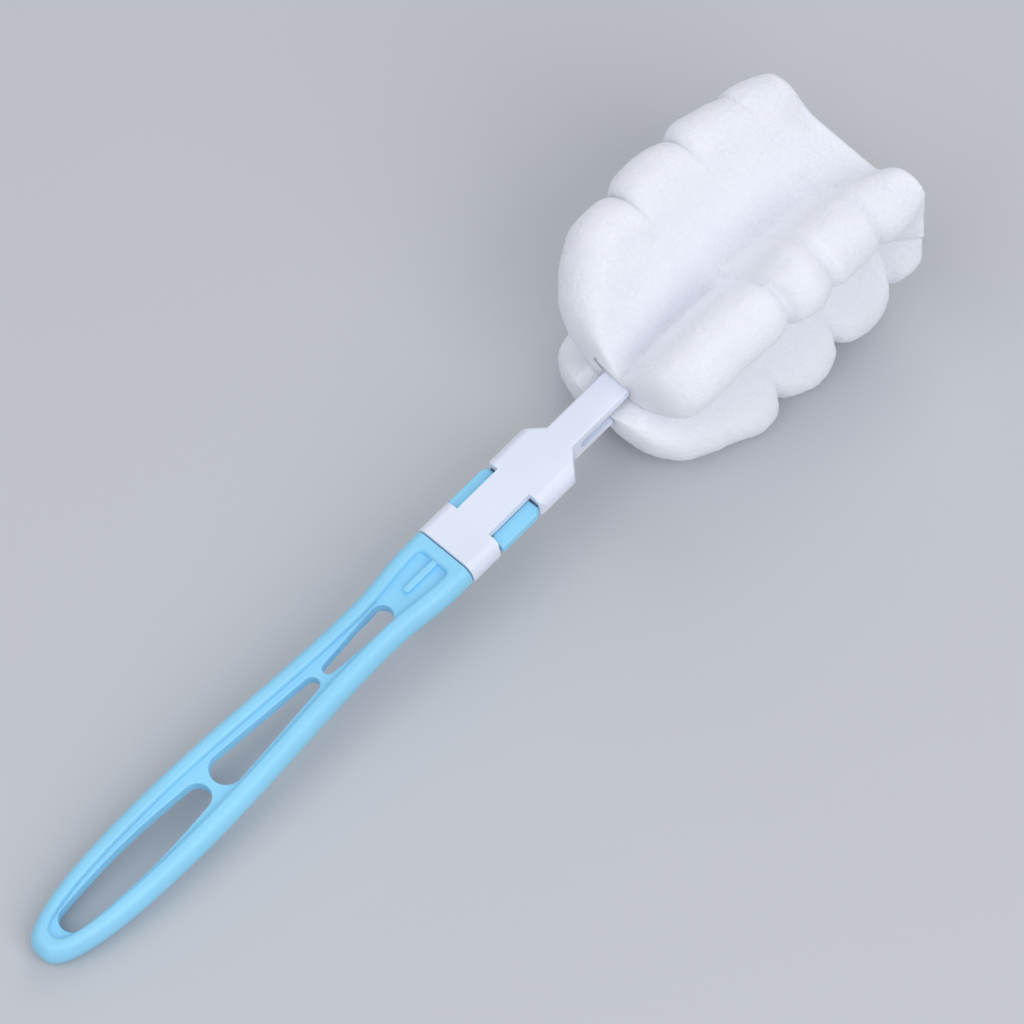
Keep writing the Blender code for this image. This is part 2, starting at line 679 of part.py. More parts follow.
def leaf_stadium(place, leaf, side):
    """A leaf's section, thinner at its root: the centre and the radius of its root and of its tip."""
    drop = notch_drop(place, leaf)
    start_reach = (leaf.start_share, LEAF_START_REACH / LEAF_REACH)
    reach = along_table((start_reach, *leaf.reach_shares), place) * LEAF_REACH
    reach = max(reach - leaf.notch_depth * drop, LEAF_START_REACH)
    plump = min(max((place - leaf.start_share) * FOAM_LENGTH / LEAF_SWELL_LENGTH, 0.0), 1.0)
    full = along_table(leaf.thickness_shares, place) * LEAF_THICKNESS
    thickness = LEAF_START_THICKNESS + (full - LEAF_START_THICKNESS) * math.sqrt(1 - (1 - plump) ** 2)
    half = min(thickness * (1 - NOTCH_THINNING_SHARE * drop) / 2, reach)
    angle = leaf_angle(place, leaf, side)
    way = Vector((math.cos(angle), math.sin(angle)))
    root = Vector((side * along_table(leaf.root_shift_shares, place) * LEAF_THICKNESS, 0))
    return root, min(fold_radius(place), half), way * max(reach - half, 0.0), half


def ray_reach(ray, root, root_half, tip, half):
    """How far a ray from the brush's axis runs before it leaves a tapered stadium."""
    found = [0.0]
    for centre, radius in ((root, root_half), (tip, half)):
        nearest = ray.dot(centre)
        inside = radius**2 - centre.length_squared + nearest**2
        if inside >= 0:
            found.append(nearest + math.sqrt(inside))
    spine = tip - root
    if spine.length > half - root_half + PIECE_GAP:
        way = spine.normalized()
        across = Vector((-way.y, way.x))
        lean = (root_half - half) / spine.length
        for side in (1, -1):
            outward = way * lean + across * side * math.sqrt(1 - lean**2)
            if ray.dot(outward) > SMALL_SLOPE:
                reach = (root.dot(outward) + root_half) / ray.dot(outward)
                first = root + outward * root_half
                run = tip + outward * half - first
                along = (ray * reach - first).dot(run)
                if 0 <= along <= run.length_squared:
                    found.append(reach)
    return max(found)


def bridge_reach(turn, place, between, bridge_turn_shares):
    """How far a ray between the two leaves runs before it leaves the bridge that joins them."""
    if not between[0] < turn < between[1]:
        return 0.0
    facing = along_table(bridge_turn_shares, place) * math.pi
    height = along_table(BRIDGE_HEIGHT_SHARES, place) * LEAF_REACH
    return height / max(math.cos(turn - facing), SMALLEST_BRIDGE_SLOPE)


def foam_section(place, leaves, crease_shares, bridge_turn_shares):
    """The section of a sheet, as (y, z) points from its left edge over the top to its right one."""
    stadiums = [leaf_stadium(place, leaf, side) for leaf, side in zip(leaves, (1, -1))]
    left, right = (leaf_angle(place, leaf, side) for leaf, side in zip(leaves, (1, -1)))
    crease = along_table(crease_shares, place) * math.pi
    fade_start, fade_end = CREASE_FADE_SHARES
    deepening = CREASE_DEPTH_SHARE * ease(1, 0, (place - fade_start) / (fade_end - fade_start))
    left_rays = [left * share for share in OUTER_RAY_SHARES]
    left_rays += [left + (crease - left) * share for share in INNER_RAY_SHARES]
    right_rays = [math.pi - (math.pi - right) * share for share in OUTER_RAY_SHARES]
    right_rays += [right + (crease - right) * share for share in INNER_RAY_SHARES]
    rays = left_rays + [crease] + right_rays[::-1]
    floor = fold_radius(place)
    points = []
    for turn in rays:
        ray = Vector((math.cos(turn), math.sin(turn)))
        radii = [floor] + [ray_reach(ray, *stadium) for stadium in stadiums]
        radii.append(bridge_reach(turn, place, (left, right), bridge_turn_shares))
        longest = max(radii)
        radius = longest * sum((r / longest) ** SOFT_UNION_POWER for r in radii) ** (1 / SOFT_UNION_POWER)
        dip = deepening * math.exp(-(((turn - crease) / CREASE_WIDTH) ** 2))
        radius -= max(radius - floor, 0.0) * dip
        points.append(ray * radius)
    return [(p.x, p.y + PIECE_GAP / 2) for p in points]


def make_foam_sheet(name, side, leaves, crease_shares, bridge_turn_shares, parent, material):
    """One folded sheet: two leaves joined by the thin fold that the prongs pinch."""
    bm = bmesh.new()
    start_share = min(leaf.start_share for leaf in leaves)
    start = FOAM_START + FOAM_LENGTH * start_share
    loops = []
    for place in leaf_stations(start_share):
        section = foam_section(place, leaves, crease_shares, bridge_turn_shares)
        loops.append([(FOAM_START + FOAM_LENGTH * place, y, side * z) for y, z in section])
    stack_loops(bm, loops)
    sheet = mesh_object(name, bm, material)
    sheet.parent = parent
    low = SLOT_HEIGHT / 2 - PIECE_GAP
    high = HEAD_THICKNESS / 2 + PIECE_GAP
    half_width = FORK_WIDTH / 2 + PIECE_GAP
    tunnel = box_cutter(
        f"cutter_tunnel_{name}",
        (start - CUT_OVERRUN, -half_width, min(side * low, side * high)),
        (PRONG_END + PIECE_GAP, half_width, max(side * low, side * high)),
    )
    add_boolean(sheet, tunnel, "DIFFERENCE")
    return sheet


def rest_pitch():
    """The angle at which the brush lies: butt on the table, and the first lobes of the lower leaves on it."""
    lobe_x = FOAM_START + FOAM_LENGTH * REST_LOBE_SHARE
    reach = along_table(LEFT_REAR_LEAF.reach_shares, REST_LOBE_SHARE) * LEAF_REACH
    slope = leaf_angle(REST_LOBE_SHARE, LEFT_REAR_LEAF, 1)
    lobe_drop = (reach - LEAF_THICKNESS / 2) * math.sin(slope) + LEAF_THICKNESS / 2 - REST_FLAT_DEPTH
    return math.atan2(lobe_drop - HANDLE_THICKNESS / 2, lobe_x - RIM_ROUNDING)


def world_corners(objects):
    graph = bpy.context.evaluated_depsgraph_get()
    points = []
    for obj in objects:
        evaluated = obj.evaluated_get(graph)
        mesh = evaluated.to_mesh()
        points += [evaluated.matrix_world @ vertex.co for vertex in mesh.vertices]
        evaluated.to_mesh_clear()
    low = Vector([min(p[i] for p in points) for i in range(3)])
    high = Vector([max(p[i] for p in points) for i in range(3)])
    return low, high


def lay_down(frame, handle, pieces):
    """Turns the brush to its resting pitch, sets the butt on the table and centres the whole over the origin."""
    frame.rotation_euler = (0, -rest_pitch(), 0)
    bpy.context.view_layer.update()
    frame.location.z -= world_corners([handle])[0].z
    bpy.context.view_layer.update()
    low, high = world_corners(pieces)
    frame.location.x -= (low.x + high.x) / 2
    frame.location.y -= (low.y + high.y) / 2
    bpy.context.view_layer.update()


def flatten_feet(sheet):
    """Cuts the lower leaves flat where they press on the table, all below the table's plane."""
    half = FOAM_START + FOAM_LENGTH
    table = box_cutter("cutter_table", (-half, -half, -half), (half, half, 0))
    modifier = sheet.modifiers.new("flat feet", "BOOLEAN")
    modifier.operation = "DIFFERENCE"
    modifier.solver = "EXACT"
    modifier.object = table


def main():
    clear_scene()
    blue = plastic("blue_plastic", (0.26, 0.62, 0.93), 0.32)
    white = plastic("white_plastic", (0.86, 0.88, 0.95), 0.30)
    foam = plastic("white_foam", (0.90, 0.91, 0.95), 0.95)

    frame = bpy.data.objects.new("rest_attitude", None)
    bpy.context.scene.collection.objects.link(frame)

    handle = make_handle(frame, blue)
    arms = [
        make_latch_arm("latch_arm_left", 1, frame, blue),
        make_latch_arm("latch_arm_right", -1, frame, blue),
    ]
    head = make_head(frame, white)
    front_leaves = (LEFT_FRONT_LEAF, RIGHT_FRONT_LEAF)
    front_shares = (FRONT_CREASE_SHARES, FRONT_BRIDGE_TURN_SHARES)
    front = make_foam_sheet("foam_sheet_front", 1, front_leaves, *front_shares, frame, foam)
    rear_leaves = (LEFT_REAR_LEAF, RIGHT_REAR_LEAF)
    rear_shares = (REAR_CREASE_SHARES, REAR_BRIDGE_TURN_SHARES)
    rear = make_foam_sheet("foam_sheet_rear", -1, rear_leaves, *rear_shares, frame, foam)
    lay_down(frame, handle, [handle, head, *arms, front, rear])
    flatten_feet(rear)
    bpy.context.view_layer.update()
    for arm in arms:
        place = arm.matrix_world.translation
        print(arm.name, "bends about", [round(v, 6) for v in place], [round(v, 6) for v in frame.matrix_world.col[2][:3]])
    print("brush frame origin", [round(v, 6) for v in frame.matrix_world.translation])
    print("overall length", round(FOAM_START + FOAM_LENGTH, 5))
    print("pitch in degrees", round(math.degrees(rest_pitch()), 4))


main()
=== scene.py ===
"""Sponge bottle brush: its finished pieces, materials, floor, light and camera."""

import json
import math

import bmesh
import bpy
import numpy as np
from bpy.props import FloatProperty, FloatVectorProperty, IntProperty, PointerProperty
from bpy.types import Operator, Panel, PropertyGroup
from mathutils import Matrix, Vector, noise


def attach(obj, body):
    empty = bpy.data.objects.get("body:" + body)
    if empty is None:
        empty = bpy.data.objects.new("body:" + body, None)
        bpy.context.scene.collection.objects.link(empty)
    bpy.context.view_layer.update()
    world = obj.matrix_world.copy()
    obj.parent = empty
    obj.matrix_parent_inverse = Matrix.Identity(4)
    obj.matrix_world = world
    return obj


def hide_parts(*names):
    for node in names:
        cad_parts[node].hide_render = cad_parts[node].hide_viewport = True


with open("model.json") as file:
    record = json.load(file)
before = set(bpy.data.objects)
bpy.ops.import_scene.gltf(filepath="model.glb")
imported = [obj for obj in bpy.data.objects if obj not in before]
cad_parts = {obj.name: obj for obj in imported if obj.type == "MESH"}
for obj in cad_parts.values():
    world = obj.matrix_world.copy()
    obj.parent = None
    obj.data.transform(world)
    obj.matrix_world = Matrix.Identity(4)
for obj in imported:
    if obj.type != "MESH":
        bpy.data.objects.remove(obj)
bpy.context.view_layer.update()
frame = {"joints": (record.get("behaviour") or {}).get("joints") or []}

bl_info = {
    "name": "Sponge Bottle Brush",
    "version": (1, 0, 0),
    "blender": (4, 5, 0),
    "location": "3D View > Sidebar > Brush",
    "description": "Builds the moulded handle, clip-on head and sponge leaves of a bottle brush",
    "category": "Add Mesh",
}

CLEARANCE = 0.0003
OVERRUN = 0.003
SAME_PLACE = 1e-7
SHARP_ANGLE = math.radians(40)
SOFTENED_FROM = math.radians(38)
LIP_TURN = math.radians(80)
QUARTER = math.pi / 2

# How the latch arms sit in the brush
LATCH_ROOT_RADIUS = 0.0010
LATCH_ROOT_AT = 0.0034
LATCH_ROOT_TURN = math.radians(247.5)
SOCKET_SIDE_WALL = 0.0015
TAB_SET_BACK = 0.0001


def kind_of_property(make, **limits):
    """A way to write properties of one kind with a name, a description and a default alone."""
    return lambda name, description, default: make(
        name=name, description=description, default=default, **limits
    )


length = kind_of_property(FloatProperty, min=0.0, unit="LENGTH", precision=5)
tint = kind_of_property(FloatVectorProperty, min=0.0, max=1.0, subtype="COLOR")
share = kind_of_property(FloatProperty, min=0.0, max=1.0, subtype="FACTOR")
power = kind_of_property(FloatProperty, min=0.0, unit="POWER")
focal_length = kind_of_property(FloatProperty, min=1.0, unit="CAMERA")
number_of = kind_of_property(IntProperty, min=20, max=800)


class HandleSizes(PropertyGroup):
    long: length("Length", "From the butt to the head's ring", 0.1278)
    thick: length("Thickness", "Across the rails, front to back", 0.0072)
    grip_width: length("Grip width", "Width at the widest place", 0.0195)
    grip_at: length("Grip place", "Distance of the widest place from the butt", 0.041)
    waist_width: length("Waist width", "Width at the narrowest place", 0.0143)
    waist_at: length("Waist place", "Distance of the narrowest place from the butt", 0.104)
    neck_width: length("Neck width", "Width where the handle meets the head", 0.0172)
    rim_rounding: length("Rim rounding", "Rounding of the rails' outer sides", 0.00265)
    rail_width: length("Rail width", "Width of each side rail", 0.0042)
    web_thick: length("Web thickness", "Thickness of the web between the rails", 0.0034)
    lip_radius: length("Lip radius", "Rounding of the rails' inner edges", 0.0011)
    fillet_radius: length("Fillet radius", "Fillet between web and rail", 0.0005)
    hole_lip_radius: length("Hole lip radius", "Rounding of the holes' edges", 0.0004)


class HeadSizes(PropertyGroup):
    width: length("Width", "Across the housing", 0.0177)
    thick: length("Thickness", "Front to back", 0.0076)
    rounding: length("Side rounding", "How far the sides' rounding reaches in", 0.0032)
    edge_softness: length("Edge softness", "Rounding of the windows' and fork's edges", 0.0004)
    ring_long: length("Ring length", "From the handle to the windows", 0.0091)
    window_long: length("Window length", "Along the brush", 0.0133)
    shoulder_long: length("Shoulder length", "From the windows to the chamfers", 0.0090)
    shoulder_radius: length("Shoulder radius", "Rounding of the shoulders' corners", 0.0034)
    stem_fillet: length("Stem fillet", "Rounding between the chamfers and the stem", 0.0012)
    fork_width: length("Fork width", "Across the prongs", 0.0078)
    stem_long: length("Stem length", "From the chamfers to the fork's slot", 0.00194)
    prong_thick: length("Prong thickness", "Of one prong", 0.00232)
    prong_long: length("Prong length", "From the slot's root to the prongs' ends", 0.0497)


class LatchSizes(PropertyGroup):
    thick: length("Thickness", "Of arm and tab", 0.0027)
    edge_rounding: length("Edge rounding", "Rounding of the edges", 0.0006)
    strip_width: length("Strip width", "Width of the springy strip", 0.0016)
    tab_depth: length("Tab depth", "Depth of the tab in its window", 0.00434)


class SpongeSizes(PropertyGroup):
    long: length("Length", "From the fork's side to the tip", 0.0832)
    leaf_reach: length("Leaf reach", "From the brush's middle to a leaf's edge", 0.0374)
    leaf_thick: length("Leaf thickness", "Across a full leaf", 0.0170)
    front_notch: length("Front notch depth", "Between the front leaves' lobes", 0.0035)
    rear_notch: length("Rear notch depth", "Between the rear leaves' lobes", 0.0043)
    groove: length("Groove depth", "Of the grooves that run in from the notches", 0.0009)
    groove_width: length("Groove width", "Of the same grooves", 0.0013)
    crease_softness: length("Crease softness", "Rounding of the folds between leaves", 0.0011)
    rim_softness: length("Rim softness", "Rounding of the tip's cut end", 0.0016)
    start_softness: length("Start softness", "Rounding of the ends by the stem", 0.0013)
    swell: length("Swell", "Slow unevenness of the surface", 0.00035)
    fuzz: length("Fuzz", "Height of the torn cells", 0.00016)
    rings: number_of("Rings", "Sections along the sponge", 190)
    around: number_of("Points around", "Points in each section", 400)


class Finishes(PropertyGroup):
    handle_colour: tint("Handle colour", "Sky blue plastic", (0.29, 0.68, 0.95))
    head_colour: tint("Head colour", "White plastic with a cool cast", (0.77, 0.82, 0.95))
    sponge_colour: tint("Sponge colour", "White foam", (0.845, 0.86, 0.945))
    plastic_roughness: share("Plastic roughness", "Gloss of the moulded pieces", 0.34)
    sponge_roughness: share("Sponge roughness", "Gloss of the foam", 0.95)


class StageSettings(PropertyGroup):
    floor_colour: tint("Floor colour", "Plain pale floor", (0.55, 0.57, 0.60))
    floor_size: length("Floor size", "Across the floor", 8.0)
    key_watts: power("Key light", "Large soft light on the right", 5.7)
    fill_watts: power("Fill light", "Soft light from the butt's side", 2.5)
    far_watts: power("Far light", "Soft light beyond the tip", 2.3)
    sky: share("Sky", "Strength of the even light from all sides", 0.48)
    lens: focal_length("Lens", "Focal length", 172.32)


SETTINGS = {
    "brush_handle": HandleSizes,
    "brush_head": HeadSizes,
    "brush_latch": LatchSizes,
    "brush_sponge": SpongeSizes,
    "brush_finish": Finishes,
    "brush_stage": StageSettings,
}


def plug_half_width():
    return bpy.context.scene.brush_head.width / 2 - SOCKET_SIDE_WALL - CLEARANCE


def latch_root_y():
    return plug_half_width() - LATCH_ROOT_RADIUS


def rest_attitude():
    """From the brush's own frame, butt at zero and tip along X, to where it lies on the table."""
    hinge = next(joint for joint in frame["joints"] if joint["name"] == "latch_right_press")
    up = Vector(hinge["axis"])
    left = Vector((0, 1, 0))
    turn = Matrix((left.cross(up), left, up)).transposed()
    sizes = bpy.context.scene.brush_handle
    root = Vector((sizes.long + LATCH_ROOT_AT, -latch_root_y(), 0))
    butt = Vector(hinge["pos_m"]) - turn @ root
    return Matrix.Translation(butt) @ turn.to_4x4()


def ease(start, end, place):
    """A value that leaves start and reaches end without a kink."""
    place = min(max(place, 0.0), 1.0)
    return start + (end - start) * (1 - math.cos(math.pi * place)) / 2


def turns_between(start, end, steps):
    return [start + (end - start) * i / steps for i in range(steps + 1)]


def arc(centre_x, centre_y, radius, start, end, steps):
    turns = turns_between(start, end, steps)
    return [(centre_x + radius * math.cos(t), centre_y + radius * math.sin(t)) for t in turns]


def mirrored(right_side):
    """A closed outline, anticlockwise, from its right side's points in order of rising x."""
    return right_side + [(x, -y) for x, y in reversed(right_side) if abs(y) > 0]


def raise_face(bm, outline, profile):
    """Sets a flat face out on an outline and raises it in steps of (inset, height)."""
    rim = bmesh.ops.create_circle(bm, cap_ends=True, segments=len(outline), radius=1.0)["verts"]
    for vertex, (x, y) in zip(rim, outline):
        vertex.co = (x, y, 0)
    face = rim[0].link_faces[0]
    face.normal_update()
    inset = height = 0.0
    for next_inset, next_height in profile:
        steps = {"thickness": next_inset - inset, "depth": next_height - height}
        bmesh.ops.inset_region(
            bm, faces=[face], use_boundary=True, use_even_offset=True, **steps
        )
        face.normal_update()
        inset, height = next_inset, next_height


def face_outwards(bm):
    """Turns a closed mesh's faces outwards."""
    bmesh.ops.recalc_face_normals(bm, faces=bm.faces)
    if bm.calc_volume(signed=True) < 0:
        bmesh.ops.reverse_faces(bm, faces=bm.faces)


def moulded_solid(outline, above, below=None, level=0.0):
    """A solid whose sides follow a profile up from its parting line, and it or another down."""
    bm = bmesh.new()
    raise_face(bm, outline, below or above)
    bmesh.ops.scale(bm, vec=(1, 1, -1), verts=bm.verts)
    raise_face(bm, outline, above)
    bmesh.ops.translate(bm, vec=(0, 0, level), verts=bm.verts)
    bmesh.ops.remove_doubles(bm, verts=bm.verts, dist=SAME_PLACE)
    face_outwards(bm)
    return bm


def round_side(half_height, rounding, steps):
    turns = turns_between(0, QUARTER, steps)[1:]
    return [(rounding * (1 - math.cos(t)), half_height * math.sin(t)) for t in turns]


def soft_edge(half_height, rounding, steps, end=QUARTER):
    """A straight wall with a quarter round, or part of one, at its edge."""
    wall = half_height - rounding
    turns = turns_between(0, end, steps)
    return [(rounding * (1 - math.cos(t)), wall + rounding * math.sin(t)) for t in turns]


def flared_wall(half_height, radius, steps):
    """A hole's wall that opens out in a rounded lip, as a cutter's side."""
    wall = [(-inset, height) for inset, height in soft_edge(half_height, radius, steps, LIP_TURN)]
    return wall + [(wall[-1][0] - radius * (1 - math.sin(LIP_TURN)), half_height + OVERRUN)]


def mesh_piece(name, bm):
    mesh = bpy.data.meshes.new(name)
    bm.to_mesh(mesh)
    bm.free()
    piece = bpy.data.objects.new(name, mesh)
    bpy.context.scene.collection.objects.link(piece)
    return piece


def modify(piece, kind, **values):
    """Changes a piece by one modifier with these values, and leaves a plain mesh."""
    modifier = piece.modifiers.new(kind.lower(), kind)
    for name, value in values.items():
        setattr(modifier, name, value)
    graph = bpy.context.evaluated_depsgraph_get()
    finished = bpy.data.meshes.new_from_object(piece.evaluated_get(graph))
    piece.modifiers.clear()
    rough = piece.data
    piece.data = finished
    bpy.data.meshes.remove(rough)


def combine(piece, tool_mesh, operation):
    """Joins a tool's shape to a piece or cuts it out, and removes the tool."""
    tool = mesh_piece("tool", tool_mesh)
    modify(piece, "BOOLEAN", operation=operation, solver="EXACT", object=tool)
    bpy.data.objects.remove(tool)


def round_edges(bm, edges, offset, segments):
    bmesh.ops.bevel(
        bm, geom=edges, offset=offset, affect="EDGES", segments=segments, profile=0.5, material=-1
    )


def edges_at(edges, x):
    return [edge for edge in edges if all(abs(v.co.x - x) < SAME_PLACE for v in edge.verts)]


def finish_piece(piece, material, slot_name, body, *nodes):
    """Puts a finished shape in its place on the table, to ride and stand for its nodes."""
    piece.data.transform(rest_attitude())
    piece.data.shade_smooth()
    piece.data.set_sharp_from_angle(angle=SHARP_ANGLE)
    modify(piece, "WEIGHTED_NORMAL", keep_sharp=True)
    piece.data.materials.clear()
    piece.data.materials.append(material)
    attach(piece, body)
    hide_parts(*nodes)


# Node groups

SOCKET_KINDS = {"Vector": "NodeSocketVector", "Colour": "NodeSocketColor"}
SCUFF_COLOUR = (0.93, 0.95, 0.97, 1.0)


def new_group(name, inputs, outputs):
    group = bpy.data.node_groups.new(name, "ShaderNodeTree")
    sockets = [(label, "INPUT") for label in inputs] + [(label, "OUTPUT") for label in outputs]
    for label, way in sockets:
        kind = SOCKET_KINDS.get(label, "NodeSocketFloat")
        socket = group.interface.new_socket(label, in_out=way, socket_type=kind)
        if way == "INPUT":
            socket.default_value = inputs[label]
    entry = group.nodes.new("NodeGroupInput")
    leave = group.nodes.new("NodeGroupOutput")
    return group, entry.outputs, leave.inputs


def feed(tree, value, socket):
    """Links a socket to another node's, or sets it to a number or colour."""
    if isinstance(value, bpy.types.NodeSocket):
        tree.links.new(value, socket)
    else:
        socket.default_value = value


def maths(tree, operation, first, second):
    node = tree.nodes.new("ShaderNodeMath")
    node.operation = operation
    feed(tree, first, node.inputs[0])
    feed(tree, second, node.inputs[1])
    return node.outputs[0]


def noise_field(tree, where, size, detail, stretch=(1, 1, 1)):
    """Noise whose features are about size metres across."""
    mapping = tree.nodes.new("ShaderNodeMapping")
    mapping.inputs["Scale"].default_value = stretch
    tree.links.new(where, mapping.inputs["Vector"])
    node = tree.nodes.new("ShaderNodeTexNoise")
    node.inputs["Scale"].default_value = 1 / size
    node.inputs["Detail"].default_value = detail
    tree.links.new(mapping.outputs[0], node.inputs["Vector"])
    return node.outputs["Fac"]


def cell_field(tree, where, size):
    """Distances to the middles of cells about size metres across."""
    node = tree.nodes.new("ShaderNodeTexVoronoi")
    node.inputs["Scale"].default_value = 1 / size
    tree.links.new(where, node.inputs["Vector"])
    return node.outputs["Distance"]


def remap(tree, value, low, high, to_low, to_high):
    node = tree.nodes.new("ShaderNodeMapRange")
    tree.links.new(value, node.inputs["Value"])
    limits = {"From Min": low, "From Max": high, "To Min": to_low, "To Max": to_high}
    for label, number in limits.items():
        node.inputs[label].default_value = number
    return node.outputs["Result"]


def mix_colour(tree, fac, first, second):
    node = tree.nodes.new("ShaderNodeMix")
    node.data_type = "RGBA"
    for socket, value in ((0, fac), (6, first), (7, second)):
        feed(tree, value, node.inputs[socket])
    return node.outputs[2]


def shade_colour(tree, colour, shade):
    node = tree.nodes.new("ShaderNodeVectorMath")
    node.operation = "SCALE"
    tree.links.new(colour, node.inputs[0])
    tree.links.new(shade, node.inputs["Scale"])
    return node.outputs[0]


def moulding_group():
    """Moulded plastic: slow tone, flow marks, fine tool grain and light handling scuffs."""
    inputs = {"Vector": (0, 0, 0), "Colour": (1, 1, 1, 1), "Roughness": 0.3, "Scuffs": 0.3}
    outputs = ("Colour", "Roughness", "Height")
    group, entry, leave = new_group("moulded plastic", inputs, outputs)
    where = entry["Vector"]
    tone = noise_field(group, where, size=0.030, detail=2)
    flow = noise_field(group, where, size=0.006, detail=3, stretch=(0.25, 1, 1))
    grain = noise_field(group, where, size=0.00035, detail=3)
    rubbed = noise_field(group, where, size=0.0016, detail=5, stretch=(1, 0.35, 1))
    patches = remap(group, rubbed, 0.60, 0.78, 0, 1)
    scuff = maths(group, "MULTIPLY", patches, entry["Scuffs"])
    shade = remap(group, tone, 0.3, 0.7, 0.955, 1.03)
    shaded = shade_colour(group, entry["Colour"], shade)
    pale_share = maths(group, "MULTIPLY", scuff, 0.10)
    pale = mix_colour(group, pale_share, shaded, SCUFF_COLOUR)
    group.links.new(pale, leave["Colour"])
    streaks = remap(group, flow, 0.3, 0.7, -0.04, 0.05)
    satin = maths(group, "ADD", entry["Roughness"], streaks)
    satin = maths(group, "ADD", satin, maths(group, "MULTIPLY", scuff, 0.22))
    group.links.new(satin, leave["Roughness"])
    slow, fine = maths(group, "MULTIPLY", flow, 0.75), maths(group, "MULTIPLY", grain, 0.25)
    group.links.new(maths(group, "ADD", slow, fine), leave["Height"])
    return group


def sponge_group():
    """Open-cell foam: soft clouds of tone, and small round cells between thin walls, with painted
    shade darkening the colour in the cells' hollows.
    """
    inputs = {"Vector": (0, 0, 0), "Colour": (1, 1, 1, 1), "Cell Depth": 0.1}
    group, entry, leave = new_group("open cell sponge", inputs, ("Colour", "Height"))
    where = entry["Vector"]
    cloud = noise_field(group, where, size=0.011, detail=3)
    pits = remap(group, cell_field(group, where, size=0.00040), 0.1, 0.7, 0, 1)
    pores = remap(group, cell_field(group, where, size=0.0014), 0.0, 0.22, 0, 1)
    pore_wall_height = maths(group, "ADD", 0.55, maths(group, "MULTIPLY", pores, 0.45))
    walls = maths(group, "MULTIPLY", pits, pore_wall_height)
    # Painted shade: the colour is darkened in the cells' hollows, and the group's third input sets
    # how much
    hollows = maths(group, "SUBTRACT", 1.0, walls)
    depth = maths(group, "MULTIPLY", hollows, entry["Cell Depth"])
    shade = maths(group, "SUBTRACT", remap(group, cloud, 0.3, 0.7, 0.985, 1.01), depth)
    shaded = shade_colour(group, entry["Colour"], shade)
    group.links.new(shaded, leave["Colour"])
    group.links.new(walls, leave["Height"])
    return group


GROUP_MAKERS = {"moulded plastic": moulding_group, "open cell sponge": sponge_group}


def start_material(name):
    material = bpy.data.materials.new(name)
    material.use_nodes = True
    tree = material.node_tree
    where = tree.nodes.new("ShaderNodeTexCoord").outputs["Object"]
    return material, tree, tree.nodes["Principled BSDF"], where


def effect_material(name, effect, looks, bump, finish):
    """A material whose varying looks and bump come from a group, with the rest of its finish."""
    found = bpy.data.materials.get(name)
    if found:
        return found
    material, tree, shader, where = start_material(name)
    group = tree.nodes.new("ShaderNodeGroup")
    group.node_tree = bpy.data.node_groups.get(effect) or GROUP_MAKERS[effect]()
    relief = tree.nodes.new("ShaderNodeBump")
    for node, values in ((group, looks), (relief, bump), (shader, finish)):
        for label, value in values.items():
            node.inputs[label].default_value = value
    tree.links.new(where, group.inputs["Vector"])
    tree.links.new(group.outputs["Height"], relief.inputs["Height"])
    tree.links.new(relief.outputs["Normal"], shader.inputs["Normal"])
    tree.links.new(group.outputs["Colour"], shader.inputs["Base Color"])
    if "Roughness" in group.outputs:
        tree.links.new(group.outputs["Roughness"], shader.inputs["Roughness"])
    return material


def plastic_material(name, colour, scuffs):
    roughness = bpy.context.scene.brush_finish.plastic_roughness
    looks = {"Colour": (*colour, 1.0), "Roughness": roughness, "Scuffs": scuffs}
    finish = {
        "IOR": 1.49,
        "Specular IOR Level": 0.42,
        "Subsurface Weight": 0.12,
        "Subsurface Radius": (1.0, 1.0, 1.0),
        "Subsurface Scale": 0.0012,
    }
    bump = {"Distance": 0.00005, "Strength": 0.5}
    return effect_material(name, "moulded plastic", looks, bump, finish)


def blue_plastic():
    colour = bpy.context.scene.brush_finish.handle_colour
    return plastic_material("blue moulded plastic", colour, scuffs=0.35)


def white_plastic():
    colour = bpy.context.scene.brush_finish.head_colour
    return plastic_material("white moulded plastic", colour, scuffs=0.25)


def white_sponge():
    sponge = bpy.context.scene.brush_finish
    # The foam's painted shade: how much the colour darkens in the cells' hollows
    looks = {"Colour": (*sponge.sponge_colour, 1.0), "Cell Depth": 0.045}
    finish = {
        "Roughness": sponge.sponge_roughness,
        "Specular IOR Level": 0.12,
        "Subsurface Weight": 0.75,
        "Subsurface Radius": (1.0, 0.97, 0.95),
        "Subsurface Scale": 0.003,
    }
    bump = {"Distance": 0.00014, "Strength": 0.4}
    return effect_material("white sponge", "open cell sponge", looks, bump, finish)


# Handle

BUTT_LONG_POWER = 2.2
BUTT_CROSS_POWER = 2.8
BUTT_STEPS = 26
SIDE_STEPS = 70
ARC_STEPS = 14
RIM_STEPS = 14
LIP_STEPS = 7
NECK_LONG = 0.0038
NECK_EDGE = 0.0003
BUTT_RAIL_WIDTH = 0.0048
END_BLOCK_LONG = 0.0032
POCKET_CORNER_RADIUS = 0.0013
POCKET_RIB_LONG = 0.0098
POCKET_RIB_WIDTH = 0.0017
POCKET_RIB_HEIGHT = 0.0011
POCKET_RIB_EDGE = 0.0005
PLUG_SUNK = 0.0020
TONGUE_LONG = 0.0118
TONGUE_ROOT_HALF = 0.0032
TONGUE_TIP_HALF = 0.0012
HOLES = (
    {"start": 0.0076, "end": 0.0522, "radii": (0.0034, 0.0034), "bulge": 0.0010},
    {"start": 0.0543, "end": 0.0869, "radii": (0.0041, 0.0019)},
    {"start": 0.0890, "end": 0.1101, "radii": (0.0015, 0.0028)},
)


def half_width(x, sizes):
    """Half the handle's width, from its widest place on."""
    if x < sizes.waist_at:
        place = (x - sizes.grip_at) / (sizes.waist_at - sizes.grip_at)
        return ease(sizes.grip_width, sizes.waist_width, place) / 2
    place = (x - sizes.waist_at) / (sizes.long - NECK_LONG - sizes.waist_at)
    return ease(sizes.waist_width, sizes.neck_width, place) / 2


